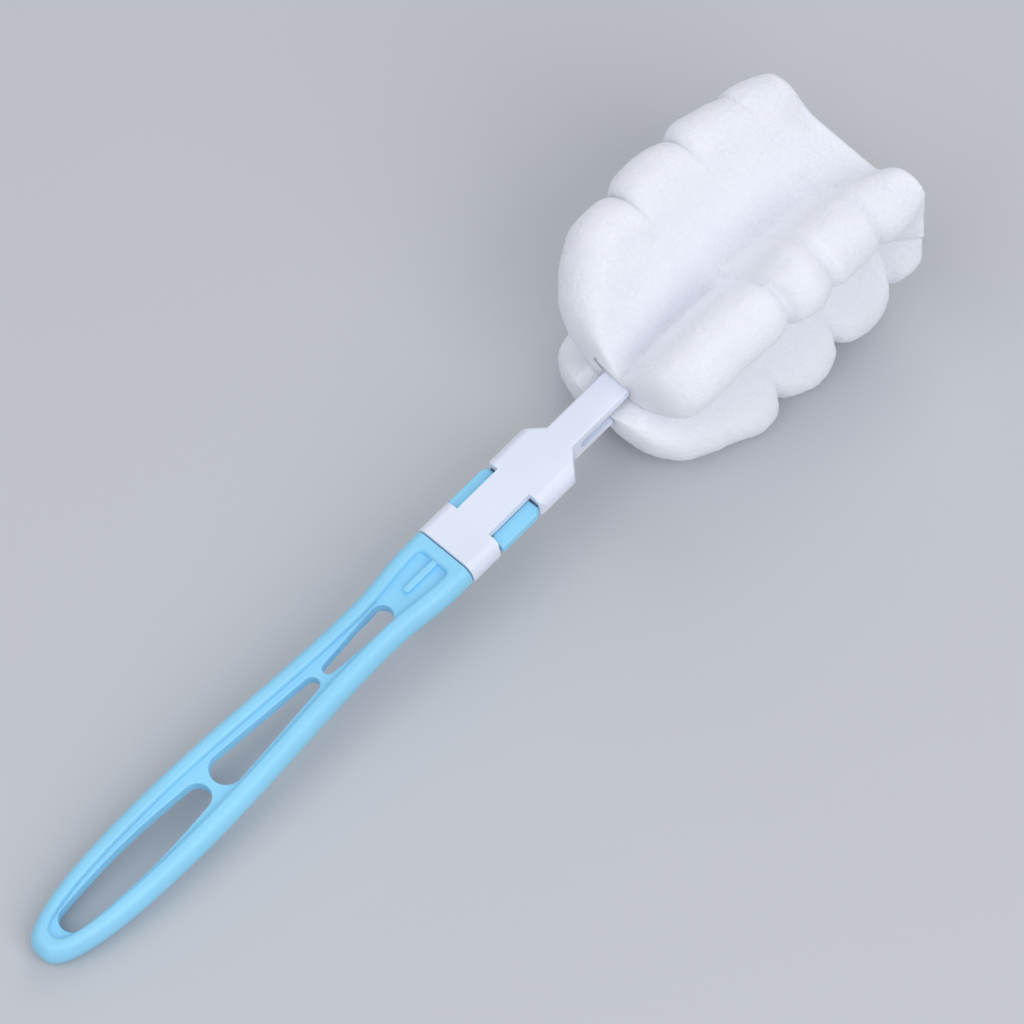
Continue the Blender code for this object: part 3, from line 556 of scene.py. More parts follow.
def butt_curve(start, half, sizes):
    """The right side of the blunt end, from start to the handle's widest place."""
    reach = sizes.grip_at - start
    points = []
    for turn in turns_between(0, QUARTER, BUTT_STEPS)[:-1]:
        x = start + reach * (1 - math.cos(turn) ** (2 / BUTT_LONG_POWER))
        points.append((x, -half * math.sin(turn) ** (2 / BUTT_CROSS_POWER)))
    return points


def side_curve(end, rail, sizes):
    """The right side from the handle's widest place on, drawn in by the rail's width."""
    places = [sizes.grip_at + (end - sizes.grip_at) * i / SIDE_STEPS for i in range(SIDE_STEPS + 1)]
    return [(x, rail - half_width(x, sizes)) for x in places]


def handle_outline(end, sizes):
    return mirrored(butt_curve(0.0, sizes.grip_width / 2, sizes) + side_curve(end, 0.0, sizes))


def recess_outline(sizes):
    """The line of the rails' inner walls, on either face of the web."""
    side = butt_curve(BUTT_RAIL_WIDTH, sizes.grip_width / 2 - sizes.rail_width, sizes)
    corner_x = sizes.long - END_BLOCK_LONG - POCKET_CORNER_RADIUS
    side += side_curve(corner_x, sizes.rail_width, sizes)[:-1]
    corner_y = sizes.rail_width + POCKET_CORNER_RADIUS - half_width(corner_x, sizes)
    side += arc(corner_x, corner_y, POCKET_CORNER_RADIUS, -QUARTER, 0, ARC_STEPS // 2)
    return mirrored(side)


def slot_outline(start, end, radii, bulge=0.0):
    """A round-ended slot that tapers from one end to the other and may swell between them."""
    first = start + radii[0]
    last = end - radii[1]
    side = [(start, 0.0)] + arc(first, 0, radii[0], math.pi, 3 * QUARTER, ARC_STEPS)[1:]
    for i in range(1, ARC_STEPS):
        place = i / ARC_STEPS
        half = radii[0] + (radii[1] - radii[0]) * place + bulge * math.sin(math.pi * place)
        side.append((first + (last - first) * place, -half))
    side += arc(last, 0, radii[1], -QUARTER, 0, ARC_STEPS)[:-1] + [(end, 0.0)]
    return mirrored(side)


def plug_outline(sizes):
    """The plug in plan: a round seat for each latch arm, and a tapering tongue between them."""
    root_x = sizes.long + LATCH_ROOT_AT
    seat = LATCH_ROOT_RADIUS + CLEARANCE
    lip = math.asin(LATCH_ROOT_RADIUS / seat)
    back = sizes.long - PLUG_SUNK
    side = [(back, 0.0), (back, -plug_half_width())]
    side += arc(root_x, -latch_root_y(), seat, math.pi + lip, QUARTER, ARC_STEPS)
    side += [(root_x, -TONGUE_ROOT_HALF), (root_x + TONGUE_LONG, -TONGUE_TIP_HALF)]
    return mirrored(side)


def cut_square(bm, x, side, edge):
    """Cuts a solid off square at x, closes it and softens the new edge."""
    geometry = [*bm.verts, *bm.edges, *bm.faces]
    plane = {"plane_co": (x, 0, 0), "plane_no": (side, 0, 0)}
    bmesh.ops.bisect_plane(bm, geom=geometry, clear_outer=True, **plane)
    bmesh.ops.holes_fill(bm, edges=[e for e in bm.edges if e.is_boundary], sides=0)
    round_edges(bm, edges_at(bm.edges, x), edge, segments=3)


class BRUSH_OT_handle(Operator):
    """Moulds the handle: two rails, the web between them with its holes, the pocket and the plug"""

    bl_idname = "bottle_brush.handle"
    bl_label = "Handle"

    def execute(self, context):
        sizes = context.scene.brush_handle
        web = sizes.web_thick / 2
        top = sizes.thick / 2
        outline = handle_outline(sizes.long + sizes.thick, sizes)
        bm = moulded_solid(outline, round_side(top, sizes.rim_rounding, RIM_STEPS))
        cut_square(bm, sizes.long, 1, NECK_EDGE)
        handle = mesh_piece("moulded_handle", bm)

        parting = (web + sizes.fillet_radius + top - sizes.lip_radius) / 2
        lip = flared_wall(top - parting, sizes.lip_radius, LIP_STEPS)
        fillet = soft_edge(parting - web, sizes.fillet_radius, LIP_STEPS)
        for face in (1, -1):
            recess = moulded_solid(recess_outline(sizes), lip, fillet, parting)
            bmesh.ops.scale(recess, vec=(1, 1, face), verts=recess.verts)
            face_outwards(recess)
            combine(handle, recess, "DIFFERENCE")
        rib_end = sizes.long - END_BLOCK_LONG + sizes.lip_radius
        rib_start = rib_end - sizes.lip_radius - POCKET_RIB_LONG
        rib = slot_outline(rib_start, rib_end, (POCKET_RIB_WIDTH / 2, POCKET_RIB_WIDTH / 2))
        rib_side = soft_edge(web + POCKET_RIB_HEIGHT, POCKET_RIB_EDGE, LIP_STEPS)
        combine(handle, moulded_solid(rib, rib_side), "UNION")
        for hole in HOLES:
            wall = flared_wall(web, sizes.hole_lip_radius, LIP_STEPS)
            combine(handle, moulded_solid(slot_outline(**hole), wall), "DIFFERENCE")
        plug_side = [(0, context.scene.brush_latch.thick / 2)]
        combine(handle, moulded_solid(plug_outline(sizes), plug_side), "UNION")
        finish_piece(handle, blue_plastic(), "blue_plastic", "brush", "handle")
        return {"FINISHED"}


# Head

FLUSH = 0.00004
SHOULDER_TURN = math.radians(45)
WINDOW_FLOOR = 0.00487
LEAD_DEPTH = 0.0011
FAR_LEAD = 0.0016
NEAR_LEAD = 0.0007
RING_EDGE = 0.0004
PLAN_EDGE = 0.0010
FORK_EDGE = 0.0007
SLOT_ROOT_ROUND = 0.98
SOCKET_LONG = 0.0255
SOCKET_HALF_THICK = 0.00165
SOCKET_EDGE = 0.0005


def head_places(sizes, start):
    """Where the shoulders end, the stem starts and the fork's slot starts."""
    shoulder_end = start + sizes.ring_long + sizes.window_long + sizes.shoulder_long
    radii = sizes.shoulder_radius + sizes.stem_fillet
    drop = (sizes.width - sizes.fork_width) / 2 - radii * (1 - math.cos(SHOULDER_TURN))
    stem_start = shoulder_end + radii * math.sin(SHOULDER_TURN) + drop / math.tan(SHOULDER_TURN)
    return shoulder_end, stem_start, stem_start + sizes.stem_long


def head_outline(sizes, start):
    """The housing in plan: rounded shoulders, chamfers, and fillets into the stem."""
    half = sizes.width / 2 + FLUSH
    stem_half = sizes.fork_width / 2
    shoulder_end, stem_start, slot_start = head_places(sizes, start)
    side = [(start - sizes.rounding - OVERRUN, -half)]
    radius, fillet = sizes.shoulder_radius, sizes.stem_fillet
    turns = (-QUARTER, SHOULDER_TURN - QUARTER)
    side += arc(shoulder_end, radius - half, radius, *turns, ARC_STEPS)
    turns = (SHOULDER_TURN + QUARTER, QUARTER)
    side += arc(stem_start, -stem_half - fillet, fillet, *turns, LIP_STEPS)
    side.append((slot_start, -stem_half))
    return mirrored(side)


def window_outline(sizes, start, side):
    """One window's cutter in plan, with the slanted leads at its outer corners."""
    outer = sizes.width / 2
    near = start + sizes.ring_long
    far = near + sizes.window_long
    beyond = 1 + OVERRUN / LEAD_DEPTH
    outline = [
        (near, WINDOW_FLOOR),
        (far, WINDOW_FLOOR),
        (far, outer - LEAD_DEPTH),
        (far + FAR_LEAD * beyond, outer + OVERRUN),
        (near - NEAR_LEAD * beyond, outer + OVERRUN),
        (near, outer - LEAD_DEPTH),
    ]
    outline = [(x, side * y) for x, y in outline]
    return outline if side > 0 else outline[::-1]


def box_solid(start, end, half, bottom, top):
    """A box from start to end along the brush, as wide to the left as to the right."""
    low, high = Vector((start, -half, bottom)), Vector((end, half, top))
    bm = bmesh.new()
    bmesh.ops.create_cube(bm, size=1.0)
    bmesh.ops.scale(bm, vec=high - low, verts=bm.verts)
    bmesh.ops.translate(bm, vec=(high + low) / 2, verts=bm.verts)
    return bm


def bevel_along(bm, offset, segments):
    """Rounds a box's four long edges."""
    long_edges = [e for e in bm.edges if abs(e.verts[0].co.x - e.verts[1].co.x) > SAME_PLACE]
    round_edges(bm, long_edges, offset, segments)


class BRUSH_OT_head(Operator):
    """Moulds the clip-on head: ring, windows, shoulders, stem and the two prongs of the fork"""

    bl_idname = "bottle_brush.head"
    bl_label = "Head"

    def execute(self, context):
        sizes = context.scene.brush_head
        start = context.scene.brush_handle.long + CLEARANCE
        shoulder_end, _, slot_start = head_places(sizes, start)
        prong_end = slot_start + sizes.prong_long
        half_thick = sizes.thick / 2
        half = sizes.width / 2
        ends = (start - sizes.thick, slot_start + sizes.thick)
        bar = [(ends[0], -half), (ends[1], -half), (ends[1], half), (ends[0], half)]
        bm = moulded_solid(bar, round_side(half_thick + FLUSH, sizes.rounding, RIM_STEPS))
        cut_square(bm, start, -1, RING_EDGE)
        head = mesh_piece("moulded_head", bm)
        edge = soft_edge(half_thick, PLAN_EDGE, LIP_STEPS)
        combine(head, moulded_solid(head_outline(sizes, start), edge), "INTERSECT")

        fork_half = sizes.fork_width / 2
        fork = box_solid(shoulder_end, prong_end, fork_half, -half_thick, half_thick)
        bevel_along(fork, FORK_EDGE, segments=5)
        combine(head, fork, "UNION")

        slot_half = half_thick - sizes.prong_thick
        ends = (slot_start, prong_end + OVERRUN)
        slot = box_solid(*ends, fork_half + OVERRUN, -slot_half, slot_half)
        root = [e for e in edges_at(slot.edges, slot_start) if e.calc_length() > sizes.fork_width]
        round_edges(slot, root, slot_half * SLOT_ROOT_ROUND, segments=6)
        combine(head, slot, "DIFFERENCE")

        ends = (start - OVERRUN, start + SOCKET_LONG)
        socket = box_solid(*ends, half - SOCKET_SIDE_WALL, -SOCKET_HALF_THICK, SOCKET_HALF_THICK)
        bevel_along(socket, SOCKET_EDGE, segments=3)
        combine(head, socket, "DIFFERENCE")
        for side in (1, -1):
            wall = [(0, half_thick + OVERRUN)]
            combine(head, moulded_solid(window_outline(sizes, start, side), wall), "DIFFERENCE")
        limit = {"limit_method": "ANGLE", "angle_limit": SOFTENED_FROM, "use_clamp_overlap": True}
        modify(head, "BEVEL", width=sizes.edge_softness, segments=3, **limit)
        finish_piece(head, white_plastic(), "white_plastic", "brush", "head")
        return {"FINISHED"}


class BRUSH_OT_latches(Operator):
    """Moulds the two sprung latch arms, each with the tab that fills a window of the head"""

    bl_idname = "bottle_brush.latches"
    bl_label = "Latches"

    def execute(self, context):
        sizes = context.scene.brush_latch
        head = context.scene.brush_head
        root_x = context.scene.brush_handle.long + LATCH_ROOT_AT
        root_y = latch_root_y()
        strip_inner = LATCH_ROOT_RADIUS - sizes.strip_width
        tab_outer = head.width / 2 - TAB_SET_BACK - root_y
        tab_inner = tab_outer - sizes.tab_depth
        tab_start = head.ring_long + 2 * CLEARANCE - LATCH_ROOT_AT
        tab_end = tab_start + head.window_long - 2 * CLEARANCE
        outline = arc(0, 0, LATCH_ROOT_RADIUS, QUARTER, LATCH_ROOT_TURN, ARC_STEPS)
        outline += [
            (LATCH_ROOT_RADIUS, strip_inner),
            (tab_start - CLEARANCE, strip_inner),
            (tab_start + strip_inner - tab_inner, tab_inner),
            (tab_end, tab_inner),
            (tab_end, tab_outer - LEAD_DEPTH),
            (tab_end - FAR_LEAD, tab_outer),
            (tab_start, tab_outer),
            (tab_start, LATCH_ROOT_RADIUS),
        ]
        for side, name in ((1, "left"), (-1, "right")):
            edge = soft_edge(sizes.thick / 2, sizes.edge_rounding, LIP_STEPS)
            bm = moulded_solid(outline, edge)
            bmesh.ops.scale(bm, vec=(1, side, 1), verts=bm.verts)
            bmesh.ops.translate(bm, vec=(root_x, side * root_y, 0), verts=bm.verts)
            face_outwards(bm)
            latch = mesh_piece(f"moulded_latch_{name}", bm)
            body, node = f"latch_{name}", f"latch_arm_{name}"
            finish_piece(latch, blue_plastic(), "blue_plastic", body, node)
        return {"FINISHED"}


# Sponge leaves. A place runs from 0 at the sheets' first end to 1 at the brush's tip. Each
# table holds pairs of a place and a share there: of the leaf reach (reach, bridge_height), the
# leaf thickness (thick, root), the notch depth (notches), the leaves' slope (slope), the cover
# over the prong (FOLD_RADII) or half a turn about the brush (bridge, creases).

PRONG_BARE = 0.0085
LEAF_SLOPE = math.radians(45)
START_THICK = 0.0090
START_REACH = 0.0030
SWELL_LONG = 0.0070
LOBE_LONG = 0.0190
LOBE_FULLNESS = 0.7
NOTCH_THINNING = 0.06
END_CROWDING = 0.75
FOLD_COVER = 0.0019
UNION_POWER = 12
CREASE_WIDTH = math.radians(11)
CREASE_SHARE = 0.75
CREASE_ENDS = (0.42, 0.60)
BRIDGE_LOWEST_SLANT = 0.3
RAYS = 360
GRAZING = 0.001
LINE_POINTS = 900
STRETCH_SHARES = (0.21, 0.22, 0.22, 0.21)
RIM_REACH = 4
RIM_CLEAR = 2.5
LOFT_MERGE = 1e-6
START_STEPS = 6
START_EASED = (0.25, 0.6)
GROOVE_FADE = 0.35
SWELL_SIZES = (0.013, 0.005)
QUICK_SHARE = 0.5
FUZZ_SIZES = (0.0011, 0.0005)
FINE_SHARE = 0.6
STILL_EDGE = 0.002
STILL_START = 0.003
HELD_TO = (1.05, 1.35)
FOLD_RADII = (
    (0, 0.53), (0.075, 0.74), (0.18, 0.95), (0.339, 1.05), (0.495, 1.16), (0.639, 1.35),
    (0.82, 1.5), (1, 1.5),
)
FRONT = {
    "bridge_height": ((0.45, 0.125), (0.495, 0.172), (0.639, 0.251), (0.82, 0.33), (1, 0.45)),
    "bridge": ((0.495, 0.6), (0.639, 0.57), (0.82, 0.545), (1, 0.548)),
    "creases": (
        (0.062, 0.578), (0.339, 0.55), (0.495, 0.6), (0.615, 0.65), (0.796, 0.645), (1, 0.64),
    ),
    "left": {
        "start": 0.09,
        "reach": (
            (0.0925, 0.36), (0.1, 0.51), (0.123, 0.65), (0.167, 0.775), (0.211, 0.86),
            (0.271, 0.945), (0.422, 0.99), (0.53, 1), (0.65, 0.99), (0.76, 0.955),
            (0.848, 0.918), (0.927, 0.87), (1, 0.815),
        ),
        "notches": ((0.422, 1), (0.648, 0.95), (0.848, 0.4)),
        "lean": 0.65,
        "slope": ((0.062, 1), (0.82, 1.022), (1, 1.125)),
        "thick": ((0, 1), (0.89, 1), (1, 0.62)),
        "root": ((0, 0),),
        "groove_from": 1,
    },
    "right": {
        "start": 0.09,
        "reach": (
            (0.0925, 0.4), (0.1, 0.53), (0.112, 0.61), (0.13, 0.665), (0.16, 0.708),
            (0.204, 0.738), (0.306, 0.785), (0.409, 0.825), (0.5, 0.872), (0.573, 0.92),
            (0.65, 0.89), (0.74, 0.855), (0.847, 0.845), (0.94, 0.89), (1, 0.932),
        ),
        "notches": ((0.49, 0.95), (0.649, 0.75), (0.847, 0.65)),
        "lean": 0.75,
        "slope": (
            (0.062, 0.8), (0.2, 0.88), (0.339, 0.95), (0.543, 0.95), (0.76, 0.889), (0.88, 0.84),
            (1, 0.909),
        ),
        "thick": ((0.062, 1), (0.808, 1), (0.89, 0.98), (1, 0.58)),
        "root": ((0.459, 0), (0.639, 0.176), (0.82, 0.3), (0.92, 0.76), (1, 1.32)),
        "groove_from": 0.22,
    },
}
REAR = {
    "bridge_height": ((0.45, 0.125), (0.495, 0.172), (0.639, 0.24), (0.82, 0.305), (1, 0.37)),
    "bridge": ((0, 0.5), (0.82, 0.505), (1, 0.56)),
    "creases": ((0, 0.5), (0.495, 0.5), (1, 0.522)),
    "left": {
        "start": 0.026,
        "reach": (
            (0.033, 0.33), (0.072, 0.55), (0.137, 0.765), (0.255, 0.882), (0.543, 0.936),
            (0.76, 0.922), (1, 0.856),
        ),
        "notches": ((0.375, 1), (0.627, 1), (0.868, 1)),
        "lean": 1,
        "slope": ((0, 1),),
        "thick": ((0, 1),),
        "root": ((0, 0),),
        "groove_from": 0.55,
    },
    "right": {
        "start": 0.02,
        "reach": (
            (0.026, 0.24), (0.04, 0.36), (0.06, 0.48), (0.122, 0.645), (0.232, 0.772),
            (0.351, 0.884), (0.446, 0.9), (0.58, 0.908), (0.69, 0.908), (0.81, 0.896),
            (0.9, 0.845), (1, 0.755),
        ),
        "notches": ((0.446, 1), (0.676, 1.1), (0.898, 0.9)),
        "lean": 1.25,
        "slope": ((0, 1.07), (0.82, 1.04), (1, 0.52)),
        "thick": ((0, 1),),
        "root": ((0.82, 0), (1, 1.08)),
        "groove_from": 0.55,
    },
}


def smooth_table(table, place):
    """A smooth line through a table's pairs, read at one place. It never overshoots a value."""
    if place <= table[0][0]:
        return table[0][1]
    if place >= table[-1][0]:
        return table[-1][1]
    steps = [(high[1] - low[1]) / (high[0] - low[0]) for low, high in zip(table, table[1:])]
    i = next(n for n, (at, _) in enumerate(table[1:]) if place <= at)
    near = (steps[max(i - 1, 0)], steps[i], steps[min(i + 1, len(steps) - 1)])
    slopes = [2 * a * b / (a + b) if a * b > 0 else 0.0 for a, b in zip(near, near[1:])]
    span = table[i + 1][0] - table[i][0]
    t = (place - table[i][0]) / span
    low = (2 * t**3 - 3 * t**2 + 1) * table[i][1] + (t**3 - 2 * t**2 + t) * span * slopes[0]
    high = (3 * t**2 - 2 * t**3) * table[i + 1][1] + (t**3 - t**2) * span * slopes[1]
    return low + high


def notch_drop(place, leaf, sizes):
    """The share of the notch depth by which a leaf's edge stands in: 0 on a lobe's crest."""
    lobe = LOBE_LONG / sizes.long
    first, last = leaf["notches"][0], leaf["notches"][-1]
    bounds = ((first[0] - lobe, 0.0), *leaf["notches"], (last[0] + lobe, last[1]))
    for (low, depth), (high, next_depth) in zip(bounds, bounds[1:]):
        if low < place <= high:
            within = (place - low) / (high - low)
            leaning = within ** leaf["lean"]
            crest = max(4 * leaning * (1 - leaning), 0.0) ** LOBE_FULLNESS
            return (1 - crest) * (depth + (next_depth - depth) * within)
    return 0.0


def fold_radius(place):
    return smooth_table(FOLD_RADII, place) * (bpy.context.scene.brush_head.thick / 2 + FOLD_COVER)


def leaf_turn(place, leaf, side):
    turn = smooth_table(leaf["slope"], place) * LEAF_SLOPE
    return turn if side > 0 else math.pi - turn


def leaf_circles(place, leaf, side, notch_depth, sizes):
    """A leaf's section as two circles: the centre and radius of its root, then of its edge."""
    drop = notch_drop(place, leaf, sizes)
    table = ((leaf["start"], START_REACH / sizes.leaf_reach), *leaf["reach"])
    reach = smooth_table(table, place) * sizes.leaf_reach
    reach = max(reach - notch_depth * drop, START_REACH)
    plump = min(max((place - leaf["start"]) * sizes.long / SWELL_LONG, 0.0), 1.0)
    full = smooth_table(leaf["thick"], place) * sizes.leaf_thick
    thick = START_THICK + (full - START_THICK) * math.sqrt(1 - (1 - plump) ** 2)
    half = min(thick * (1 - NOTCH_THINNING * drop) / 2, reach)
    turn = leaf_turn(place, leaf, side)
    way = np.array((math.cos(turn), math.sin(turn)))
    root = np.array((side * smooth_table(leaf["root"], place) * sizes.leaf_thick, 0.0))
    return root, min(fold_radius(place), half), way * max(reach - half, 0.0), half


def ray_lengths(rays, root, root_half, tip, half):
    """How far each ray from the brush's axis runs in a leaf's section: circles and their span."""
    found = np.zeros(len(rays))
    for centre, radius in ((root, root_half), (tip, half)):
        nearest = rays @ centre
        inside = radius**2 - centre @ centre + nearest**2
        reach = nearest + np.sqrt(np.maximum(inside, 0.0))
        found = np.where(inside >= 0, np.maximum(found, reach), found)
    spine = tip - root
    long = float(np.hypot(*spine))
    if long > half - root_half + CLEARANCE:
        way = spine / long
        across = np.array((-way[1], way[0]))
        lean = (root_half - half) / long
        for side in (1, -1):
            outward = way * lean + across * side * math.sqrt(1 - lean**2)
            facing = rays @ outward
            reach = (root @ outward + root_half) / np.where(facing > GRAZING, facing, 1.0)
            first = root + outward * root_half
            run = tip + outward * half - first
            along = (rays * reach[:, None] - first) @ run
            on_wall = (facing > GRAZING) & (along >= 0) & (along <= run @ run)
            found = np.where(on_wall, np.maximum(found, reach), found)
    return found


def along_line(points):
    """The run from a line's first point to each of its points."""
    return np.concatenate(((0.0,), np.cumsum(np.linalg.norm(np.diff(points, axis=0), axis=1))))


def points_at(points, run, marks):
    return np.stack([np.interp(marks, run, column) for column in points.T], axis=1)


def soften_line(points, radius):
    """A line of evenly spaced points with its kinks eased, and both ends where they were."""
    step = float(np.linalg.norm(points[1] - points[0]))
    count = min(int(3 * radius / step), len(points) - 2)
    weights = np.exp(-0.5 * (np.arange(-count, count + 1) * step / radius) ** 2)
    before = 2 * points[0] - points[count:0:-1]
    after = 2 * points[-1] - points[-2 : -count - 2 : -1]
    padded = np.concatenate((before, points, after))
    weights /= weights.sum()
    return np.stack([np.convolve(column, weights, "valid") for column in padded.T], axis=1)


def sheet_section(place, sheet, notch_depth, sizes, inset):
    """A sheet's closed section: over both leaves from left to right, and back along the middle.
    Each stretch from one bound to the next keeps its count of points in every section."""
    crease = smooth_table(sheet["creases"], place) * math.pi
    left, right = leaf_turn(place, sheet["left"], 1), leaf_turn(place, sheet["right"], -1)
    bounds = (0, left, crease, right, math.pi)
    turns = np.concatenate([np.linspace(*ends, RAYS) for ends in zip(bounds, bounds[1:])])
    rays = np.stack((np.cos(turns), np.sin(turns)), axis=1)
    floor = fold_radius(place)
    radii = [np.full(len(turns), floor)]
    for name, side in (("left", 1), ("right", -1)):
        radii.append(ray_lengths(rays, *leaf_circles(place, sheet[name], side, notch_depth, sizes)))
    facing = smooth_table(sheet["bridge"], place) * math.pi
    height = smooth_table(sheet["bridge_height"], place) * sizes.leaf_reach
    inner = (turns > left) & (turns < right)
    slant = np.maximum(np.cos(turns - facing), BRIDGE_LOWEST_SLANT)
    radii.append(np.where(inner, height / slant, 0.0))
    longest = np.max(radii, axis=0)
    radius = longest * sum((r / longest) ** UNION_POWER for r in radii) ** (1 / UNION_POWER)
    dip = CREASE_SHARE * np.exp(-(((turns - crease) / CREASE_WIDTH) ** 2))
    dip *= 1 - between(place, *CREASE_ENDS)
    radius = radius - np.maximum(radius - floor, 0.0) * dip
    points = rays * radius[:, None]
    run = along_line(points)
    corners = run[[0, RAYS, 2 * RAYS, 3 * RAYS, -1]]
    marks = np.linspace(0, run[-1], LINE_POINTS)
    line = soften_line(points_at(points, run, marks), sizes.crease_softness)
    parts = [round(sizes.around * part) for part in STRETCH_SHARES]
    ring = [
        points_at(line, marks, np.linspace(low, high, count, endpoint=False))
        for low, high, count in zip(corners, corners[1:], parts)
    ]
    over = drawn_in(np.concatenate((*ring, line[-1:])), inset, sizes.rim_softness)
    back = np.linspace(over[-1], over[0], sizes.around - sum(parts) + 1)[1:-1]
    return np.concatenate((over, back))


def drawn_in(line, inset, soft):
    """A section's line moved in, for a cut end's rounding, with its ends kept on the middle."""
    padded = np.pad(line, ((RIM_REACH, RIM_REACH), (0, 0)), "edge")
    ahead = padded[2 * RIM_REACH :] - padded[: -2 * RIM_REACH]
    inward = np.stack((-ahead[:, 1], ahead[:, 0]), axis=1) / np.hypot(*ahead.T)[:, None]
    clear = np.clip(line[:, 1] / (RIM_CLEAR * soft), 0, 1)
    inward[:, 1] *= clear * clear * (3 - 2 * clear)
    return line + inward * inset


def sheet_rings(sheet, side, notch_depth, sizes, start):
    """The sections along a sheet, crowded at both ends, with the tip's cut end rounded."""
    first = min(sheet["left"]["start"], sheet["right"]["start"])
    rings = []
    for even in np.linspace(0, 1, sizes.rings + 1):
        crowded = even - END_CROWDING * math.sin(2 * math.pi * even) / (2 * math.pi)
        place = first + (1 - first) * crowded
        x = start + sizes.long * place
        from_end = max(start + sizes.long - x, 0.0)
        soft = sizes.rim_softness
        inset = soft - math.sqrt(soft**2 - max(soft - from_end, 0.0) ** 2)
        ring = sheet_section(place, sheet, notch_depth, sizes, inset)
        rings.append([(x, y, side * (z + CLEARANCE / 2)) for y, z in ring])
    return soften_start(np.array(rings), sizes)


def soften_start(rings, sizes):
    """Eases the rim of the first end, line by line along the sheet, and fades out further on."""
    soft = sizes.start_softness
    eased = rings.copy()
    for i in range(rings.shape[1]):
        line = rings[:, i]
        run = along_line(line)
        marks = np.linspace(0, run[-1], int(run[-1] / (soft / START_STEPS)))
        eased[:, i] = points_at(soften_line(points_at(line, run, marks), soft), marks, run)
    from_start = (rings[:, 0, 0] - rings[0, 0, 0]) / sizes.leaf_thick
    fade = np.array([between(place, *START_EASED) for place in from_start])[:, None, None]
    return eased + (rings - eased) * fade


def loft(rings):
    """A closed skin through the rings, from a grid whose last row meets its first."""
    bm = bmesh.new()
    around = len(rings[0])
    bmesh.ops.create_grid(bm, x_segments=len(rings) - 1, y_segments=around, size=1.0)
    bm.verts.ensure_lookup_table()
    for i, vertex in enumerate(bm.verts):
        vertex.co = rings[i % len(rings)][(i // len(rings)) % around]
    bmesh.ops.remove_doubles(bm, verts=bm.verts, dist=LOFT_MERGE)
    bmesh.ops.holes_fill(bm, edges=[e for e in bm.edges if e.is_boundary], sides=0)
    face_outwards(bm)
    return bm


def between(value, low, high):
    """0 below low and 1 above high, smooth between them."""
    t = min(max((value - low) / (high - low), 0.0), 1.0)
    return t * t * (3 - 2 * t)


def roughen(bm, sheet, sizes, start, head):
    """Draws in the grooves between lobes and adds swell and torn cells, but not on the fork."""
    held_to = start - PRONG_BARE + head.prong_long
    first = min(vertex.co.x for vertex in bm.verts)
    last = max(vertex.co.x for vertex in bm.verts)
    for vertex in bm.verts:
        vertex.normal_update()
    moves = []
    for vertex in bm.verts:
        x, y, z = vertex.co
        place = (x - start) / sizes.long
        leaf = sheet["left"] if y > 0 else sheet["right"]
        reach = smooth_table(leaf["reach"], place) * sizes.leaf_reach
        out = math.hypot(y, z) / reach
        groove = 0.0
        for notch, depth in leaf["notches"]:
            away = (place - notch) * sizes.long / sizes.groove_width
            groove = max(groove, depth * math.exp(-away * away))
        begins = leaf["groove_from"]
        groove *= between(out, begins, begins + GROOVE_FADE) * sizes.groove
        free = between(abs(z), CLEARANCE, STILL_EDGE) * between(x - first, CLEARANCE, STILL_START)
        free *= between(last - x, 0.0, sizes.rim_softness / 2)
        if x < held_to + STILL_EDGE:
            off_fork = max(abs(y) / (head.fork_width / 2), abs(z) / (head.thick / 2))
            free *= between(off_fork, *HELD_TO)
        slow, quick = (noise.noise(vertex.co / size) for size in SWELL_SIZES)
        coarse, fine = (noise.noise(vertex.co / size) for size in FUZZ_SIZES)
        swell = sizes.swell * (slow + QUICK_SHARE * quick)
        swell += sizes.fuzz * (coarse + FINE_SHARE * fine)
        moves.append((vertex, vertex.normal * free * (swell - groove)))
    for vertex, move in moves:
        vertex.co += move


def press_on_table(bm):
    """Flattens what would reach below the table, and eases into the flat from just above it."""
    ease_high = 3 * CLEARANCE
    for vertex in bm.verts:
        above = vertex.co.z - CLEARANCE - ease_high
        if above < 0:
            vertex.co.z = CLEARANCE + ease_high * math.exp(above / ease_high)


class BRUSH_OT_sponge(Operator):
    """Makes the two folded sponge sheets, each with two scalloped leaves"""

    bl_idname = "bottle_brush.sponge"
    bl_label = "Sponge leaves"

    def execute(self, context):
        sizes = context.scene.brush_sponge
        head = context.scene.brush_head
        handle = context.scene.brush_handle
        slot_start = head_places(head, handle.long + CLEARANCE)[2]
        start = slot_start + PRONG_BARE
        prong_end = slot_start + head.prong_long
        tunnel_half = head.fork_width / 2 + CLEARANCE
        high = head.thick / 2 + CLEARANCE
        low = high - head.prong_thick - 2 * CLEARANCE
        pieces = (("front", FRONT, 1, sizes.front_notch), ("rear", REAR, -1, sizes.rear_notch))
        for name, sheet, side, notch_depth in pieces:
            bm = loft(sheet_rings(sheet, side, notch_depth, sizes, start))
            roughen(bm, sheet, sizes, start, head)
            sponge = mesh_piece(f"sponge_{name}", bm)
            edges = sorted((side * low, side * high))
            tunnel = box_solid(start - OVERRUN, prong_end + CLEARANCE, tunnel_half, *edges)
            combine(sponge, tunnel, "DIFFERENCE")
            bm = bmesh.new()
            bm.from_mesh(sponge.data)
            bmesh.ops.transform(bm, matrix=rest_attitude(), verts=bm.verts)
            press_on_table(bm)
            bm.to_mesh(sponge.data)
            bm.free()
            sponge.data.shade_smooth()
            sponge.data.materials.clear()
            sponge.data.materials.append(white_sponge())
            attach(sponge, "brush")
            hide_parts(f"foam_sheet_{name}")
        return {"FINISHED"}


# Stage

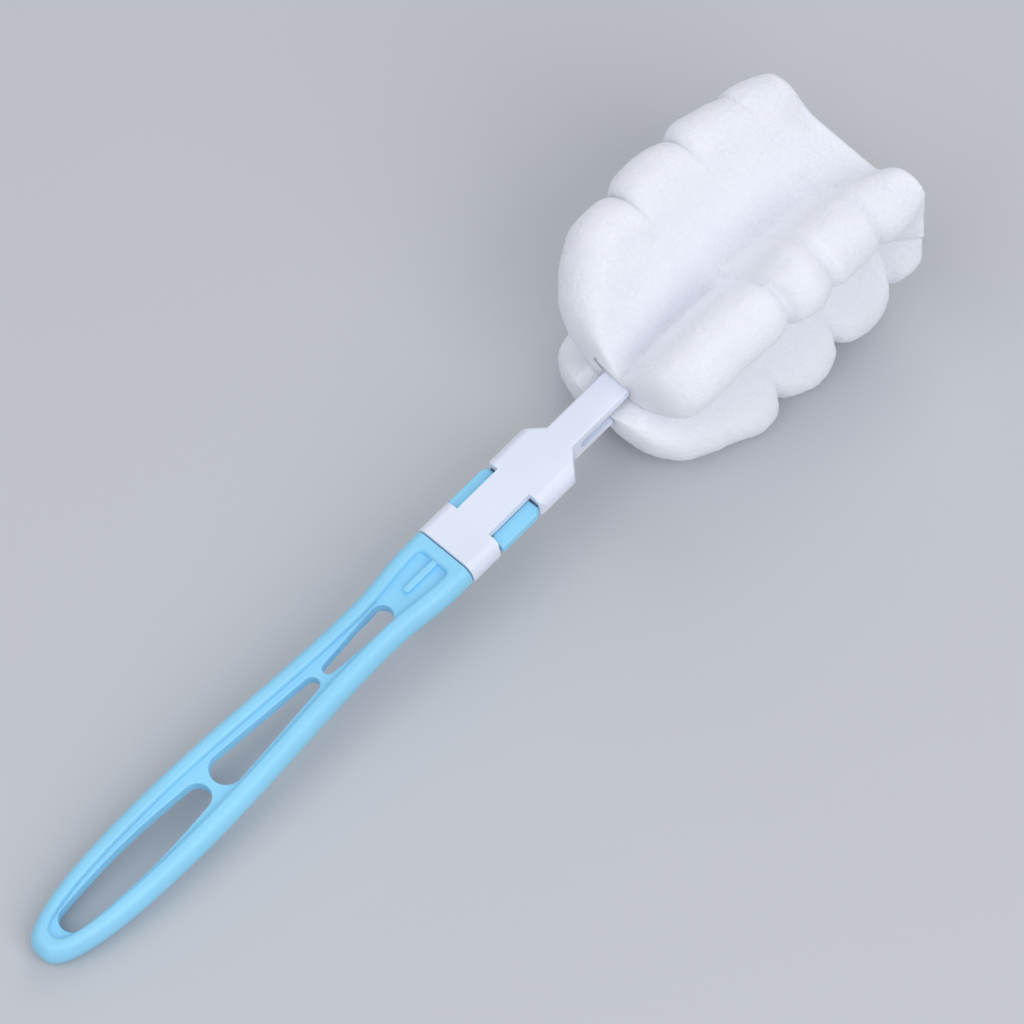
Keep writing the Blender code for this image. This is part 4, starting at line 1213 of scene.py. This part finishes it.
LIT = (0.03, 0.0, 0.02)
SKY_COLOUR = (0.97, 0.98, 1.0, 1.0)
LIGHTS = (
    {"name": "key", "place": (-0.15, -0.85, 0.75), "size": 0.9, "colour": (1.0, 1.0, 1.0)},
    {"name": "fill", "place": (-0.55, 0.10, 0.85), "size": 0.8, "colour": (0.97, 0.98, 1.0)},
    {"name": "far", "place": (0.75, 0.35, 0.80), "size": 0.8, "colour": (0.98, 0.99, 1.0)},
)
# The camera in the brush's own frame: what it looks at, from where, and how it is turned
SENSOR = 36.0
CAMERA_LOOKS_AT = (0.1459, -0.00349, 0)
CAMERA_FROM = (-0.2840, -0.3669, 0.8858)
CAMERA_AWAY = 1.100
CAMERA_ROLL = math.radians(-0.5)
BRUSH_IN_PICTURE = (0.7197, 0.6943)


def floor_material(colour):
    material, tree, shader, where = start_material("pale floor")
    fleck = noise_field(tree, where, size=0.12, detail=2)
    light, dark = ([*(channel * tone for channel in colour), 1.0] for tone in (1.01, 0.99))
    tree.links.new(mix_colour(tree, fleck, light, dark), shader.inputs["Base Color"])
    shader.inputs["Roughness"].default_value = 0.9
    shader.inputs["Specular IOR Level"].default_value = 0.1
    return material


def area_light(name, place, size, colour, watts):
    data = bpy.data.lights.new(name, "AREA")
    data.shape = "SQUARE"
    data.size = size
    data.energy = watts
    data.color = colour
    light = bpy.data.objects.new(name, data)
    light.location = place
    light.rotation_euler = (Vector(LIT) - Vector(place)).to_track_quat("-Z", "Y").to_euler()
    bpy.context.scene.collection.objects.link(light)


class BRUSH_OT_stage(Operator):
    """Sets out the floor, the soft lights and the camera"""

    bl_idname = "bottle_brush.stage"
    bl_label = "Stage"

    def execute(self, context):
        scene = context.scene
        settings = scene.brush_stage
        bm = bmesh.new()
        bmesh.ops.create_grid(bm, x_segments=2, y_segments=2, size=settings.floor_size / 2)
        floor = mesh_piece("floor", bm)
        floor.data.materials.append(floor_material(settings.floor_colour))

        world = bpy.data.worlds.new("even sky")
        world.use_nodes = True
        background = world.node_tree.nodes["Background"]
        background.inputs["Color"].default_value = SKY_COLOUR
        background.inputs["Strength"].default_value = settings.sky
        scene.world = world
        for light in LIGHTS:
            area_light(**light, watts=getattr(settings, light["name"] + "_watts"))

        towards = Vector(CAMERA_FROM).normalized()
        across = (Vector((1, 0, 0)) - towards * towards.x).normalized()
        beside = towards.cross(across)
        along = across * math.cos(CAMERA_ROLL) + beside * math.sin(CAMERA_ROLL)
        right = BRUSH_IN_PICTURE[0] * along - BRUSH_IN_PICTURE[1] * towards.cross(along)
        turn = Matrix((right, towards.cross(right), towards)).transposed().to_4x4()
        place = Matrix.Translation(Vector(CAMERA_LOOKS_AT) + towards * CAMERA_AWAY)
        data = bpy.data.cameras.new("camera")
        data.lens = settings.lens
        data.sensor_width = SENSOR
        camera = bpy.data.objects.new("camera", data)
        camera.matrix_world = rest_attitude() @ place @ turn
        scene.collection.objects.link(camera)
        scene.camera = camera
        scene.view_settings.view_transform = "Standard"
        return {"FINISHED"}


OPERATORS = (BRUSH_OT_handle, BRUSH_OT_latches, BRUSH_OT_head, BRUSH_OT_sponge, BRUSH_OT_stage)


class VIEW3D_PT_brush(Panel):
    """The brush's sizes, colours and pieces"""

    bl_label = "Sponge Bottle Brush"
    bl_space_type = "VIEW_3D"
    bl_region_type = "UI"
    bl_category = "Brush"

    def draw(self, context):
        for name, group in SETTINGS.items():
            box = self.layout.box()
            box.label(text=group.__name__)
            for label in group.__annotations__:
                box.prop(getattr(context.scene, name), label)
        for operator in OPERATORS:
            self.layout.operator(operator.bl_idname)


CLASSES = (*SETTINGS.values(), *OPERATORS, VIEW3D_PT_brush)


def register():
    for cls in CLASSES:
        bpy.utils.register_class(cls)
    for name, group in SETTINGS.items():
        setattr(bpy.types.Scene, name, PointerProperty(type=group))


def unregister():
    for name in SETTINGS:
        delattr(bpy.types.Scene, name)
    for cls in reversed(CLASSES):
        bpy.utils.unregister_class(cls)


def main():
    register()
    bpy.ops.bottle_brush.handle()
    bpy.ops.bottle_brush.latches()
    bpy.ops.bottle_brush.head()
    bpy.ops.bottle_brush.sponge()
    bpy.ops.bottle_brush.stage()


if __name__ == "__main__":
    main()
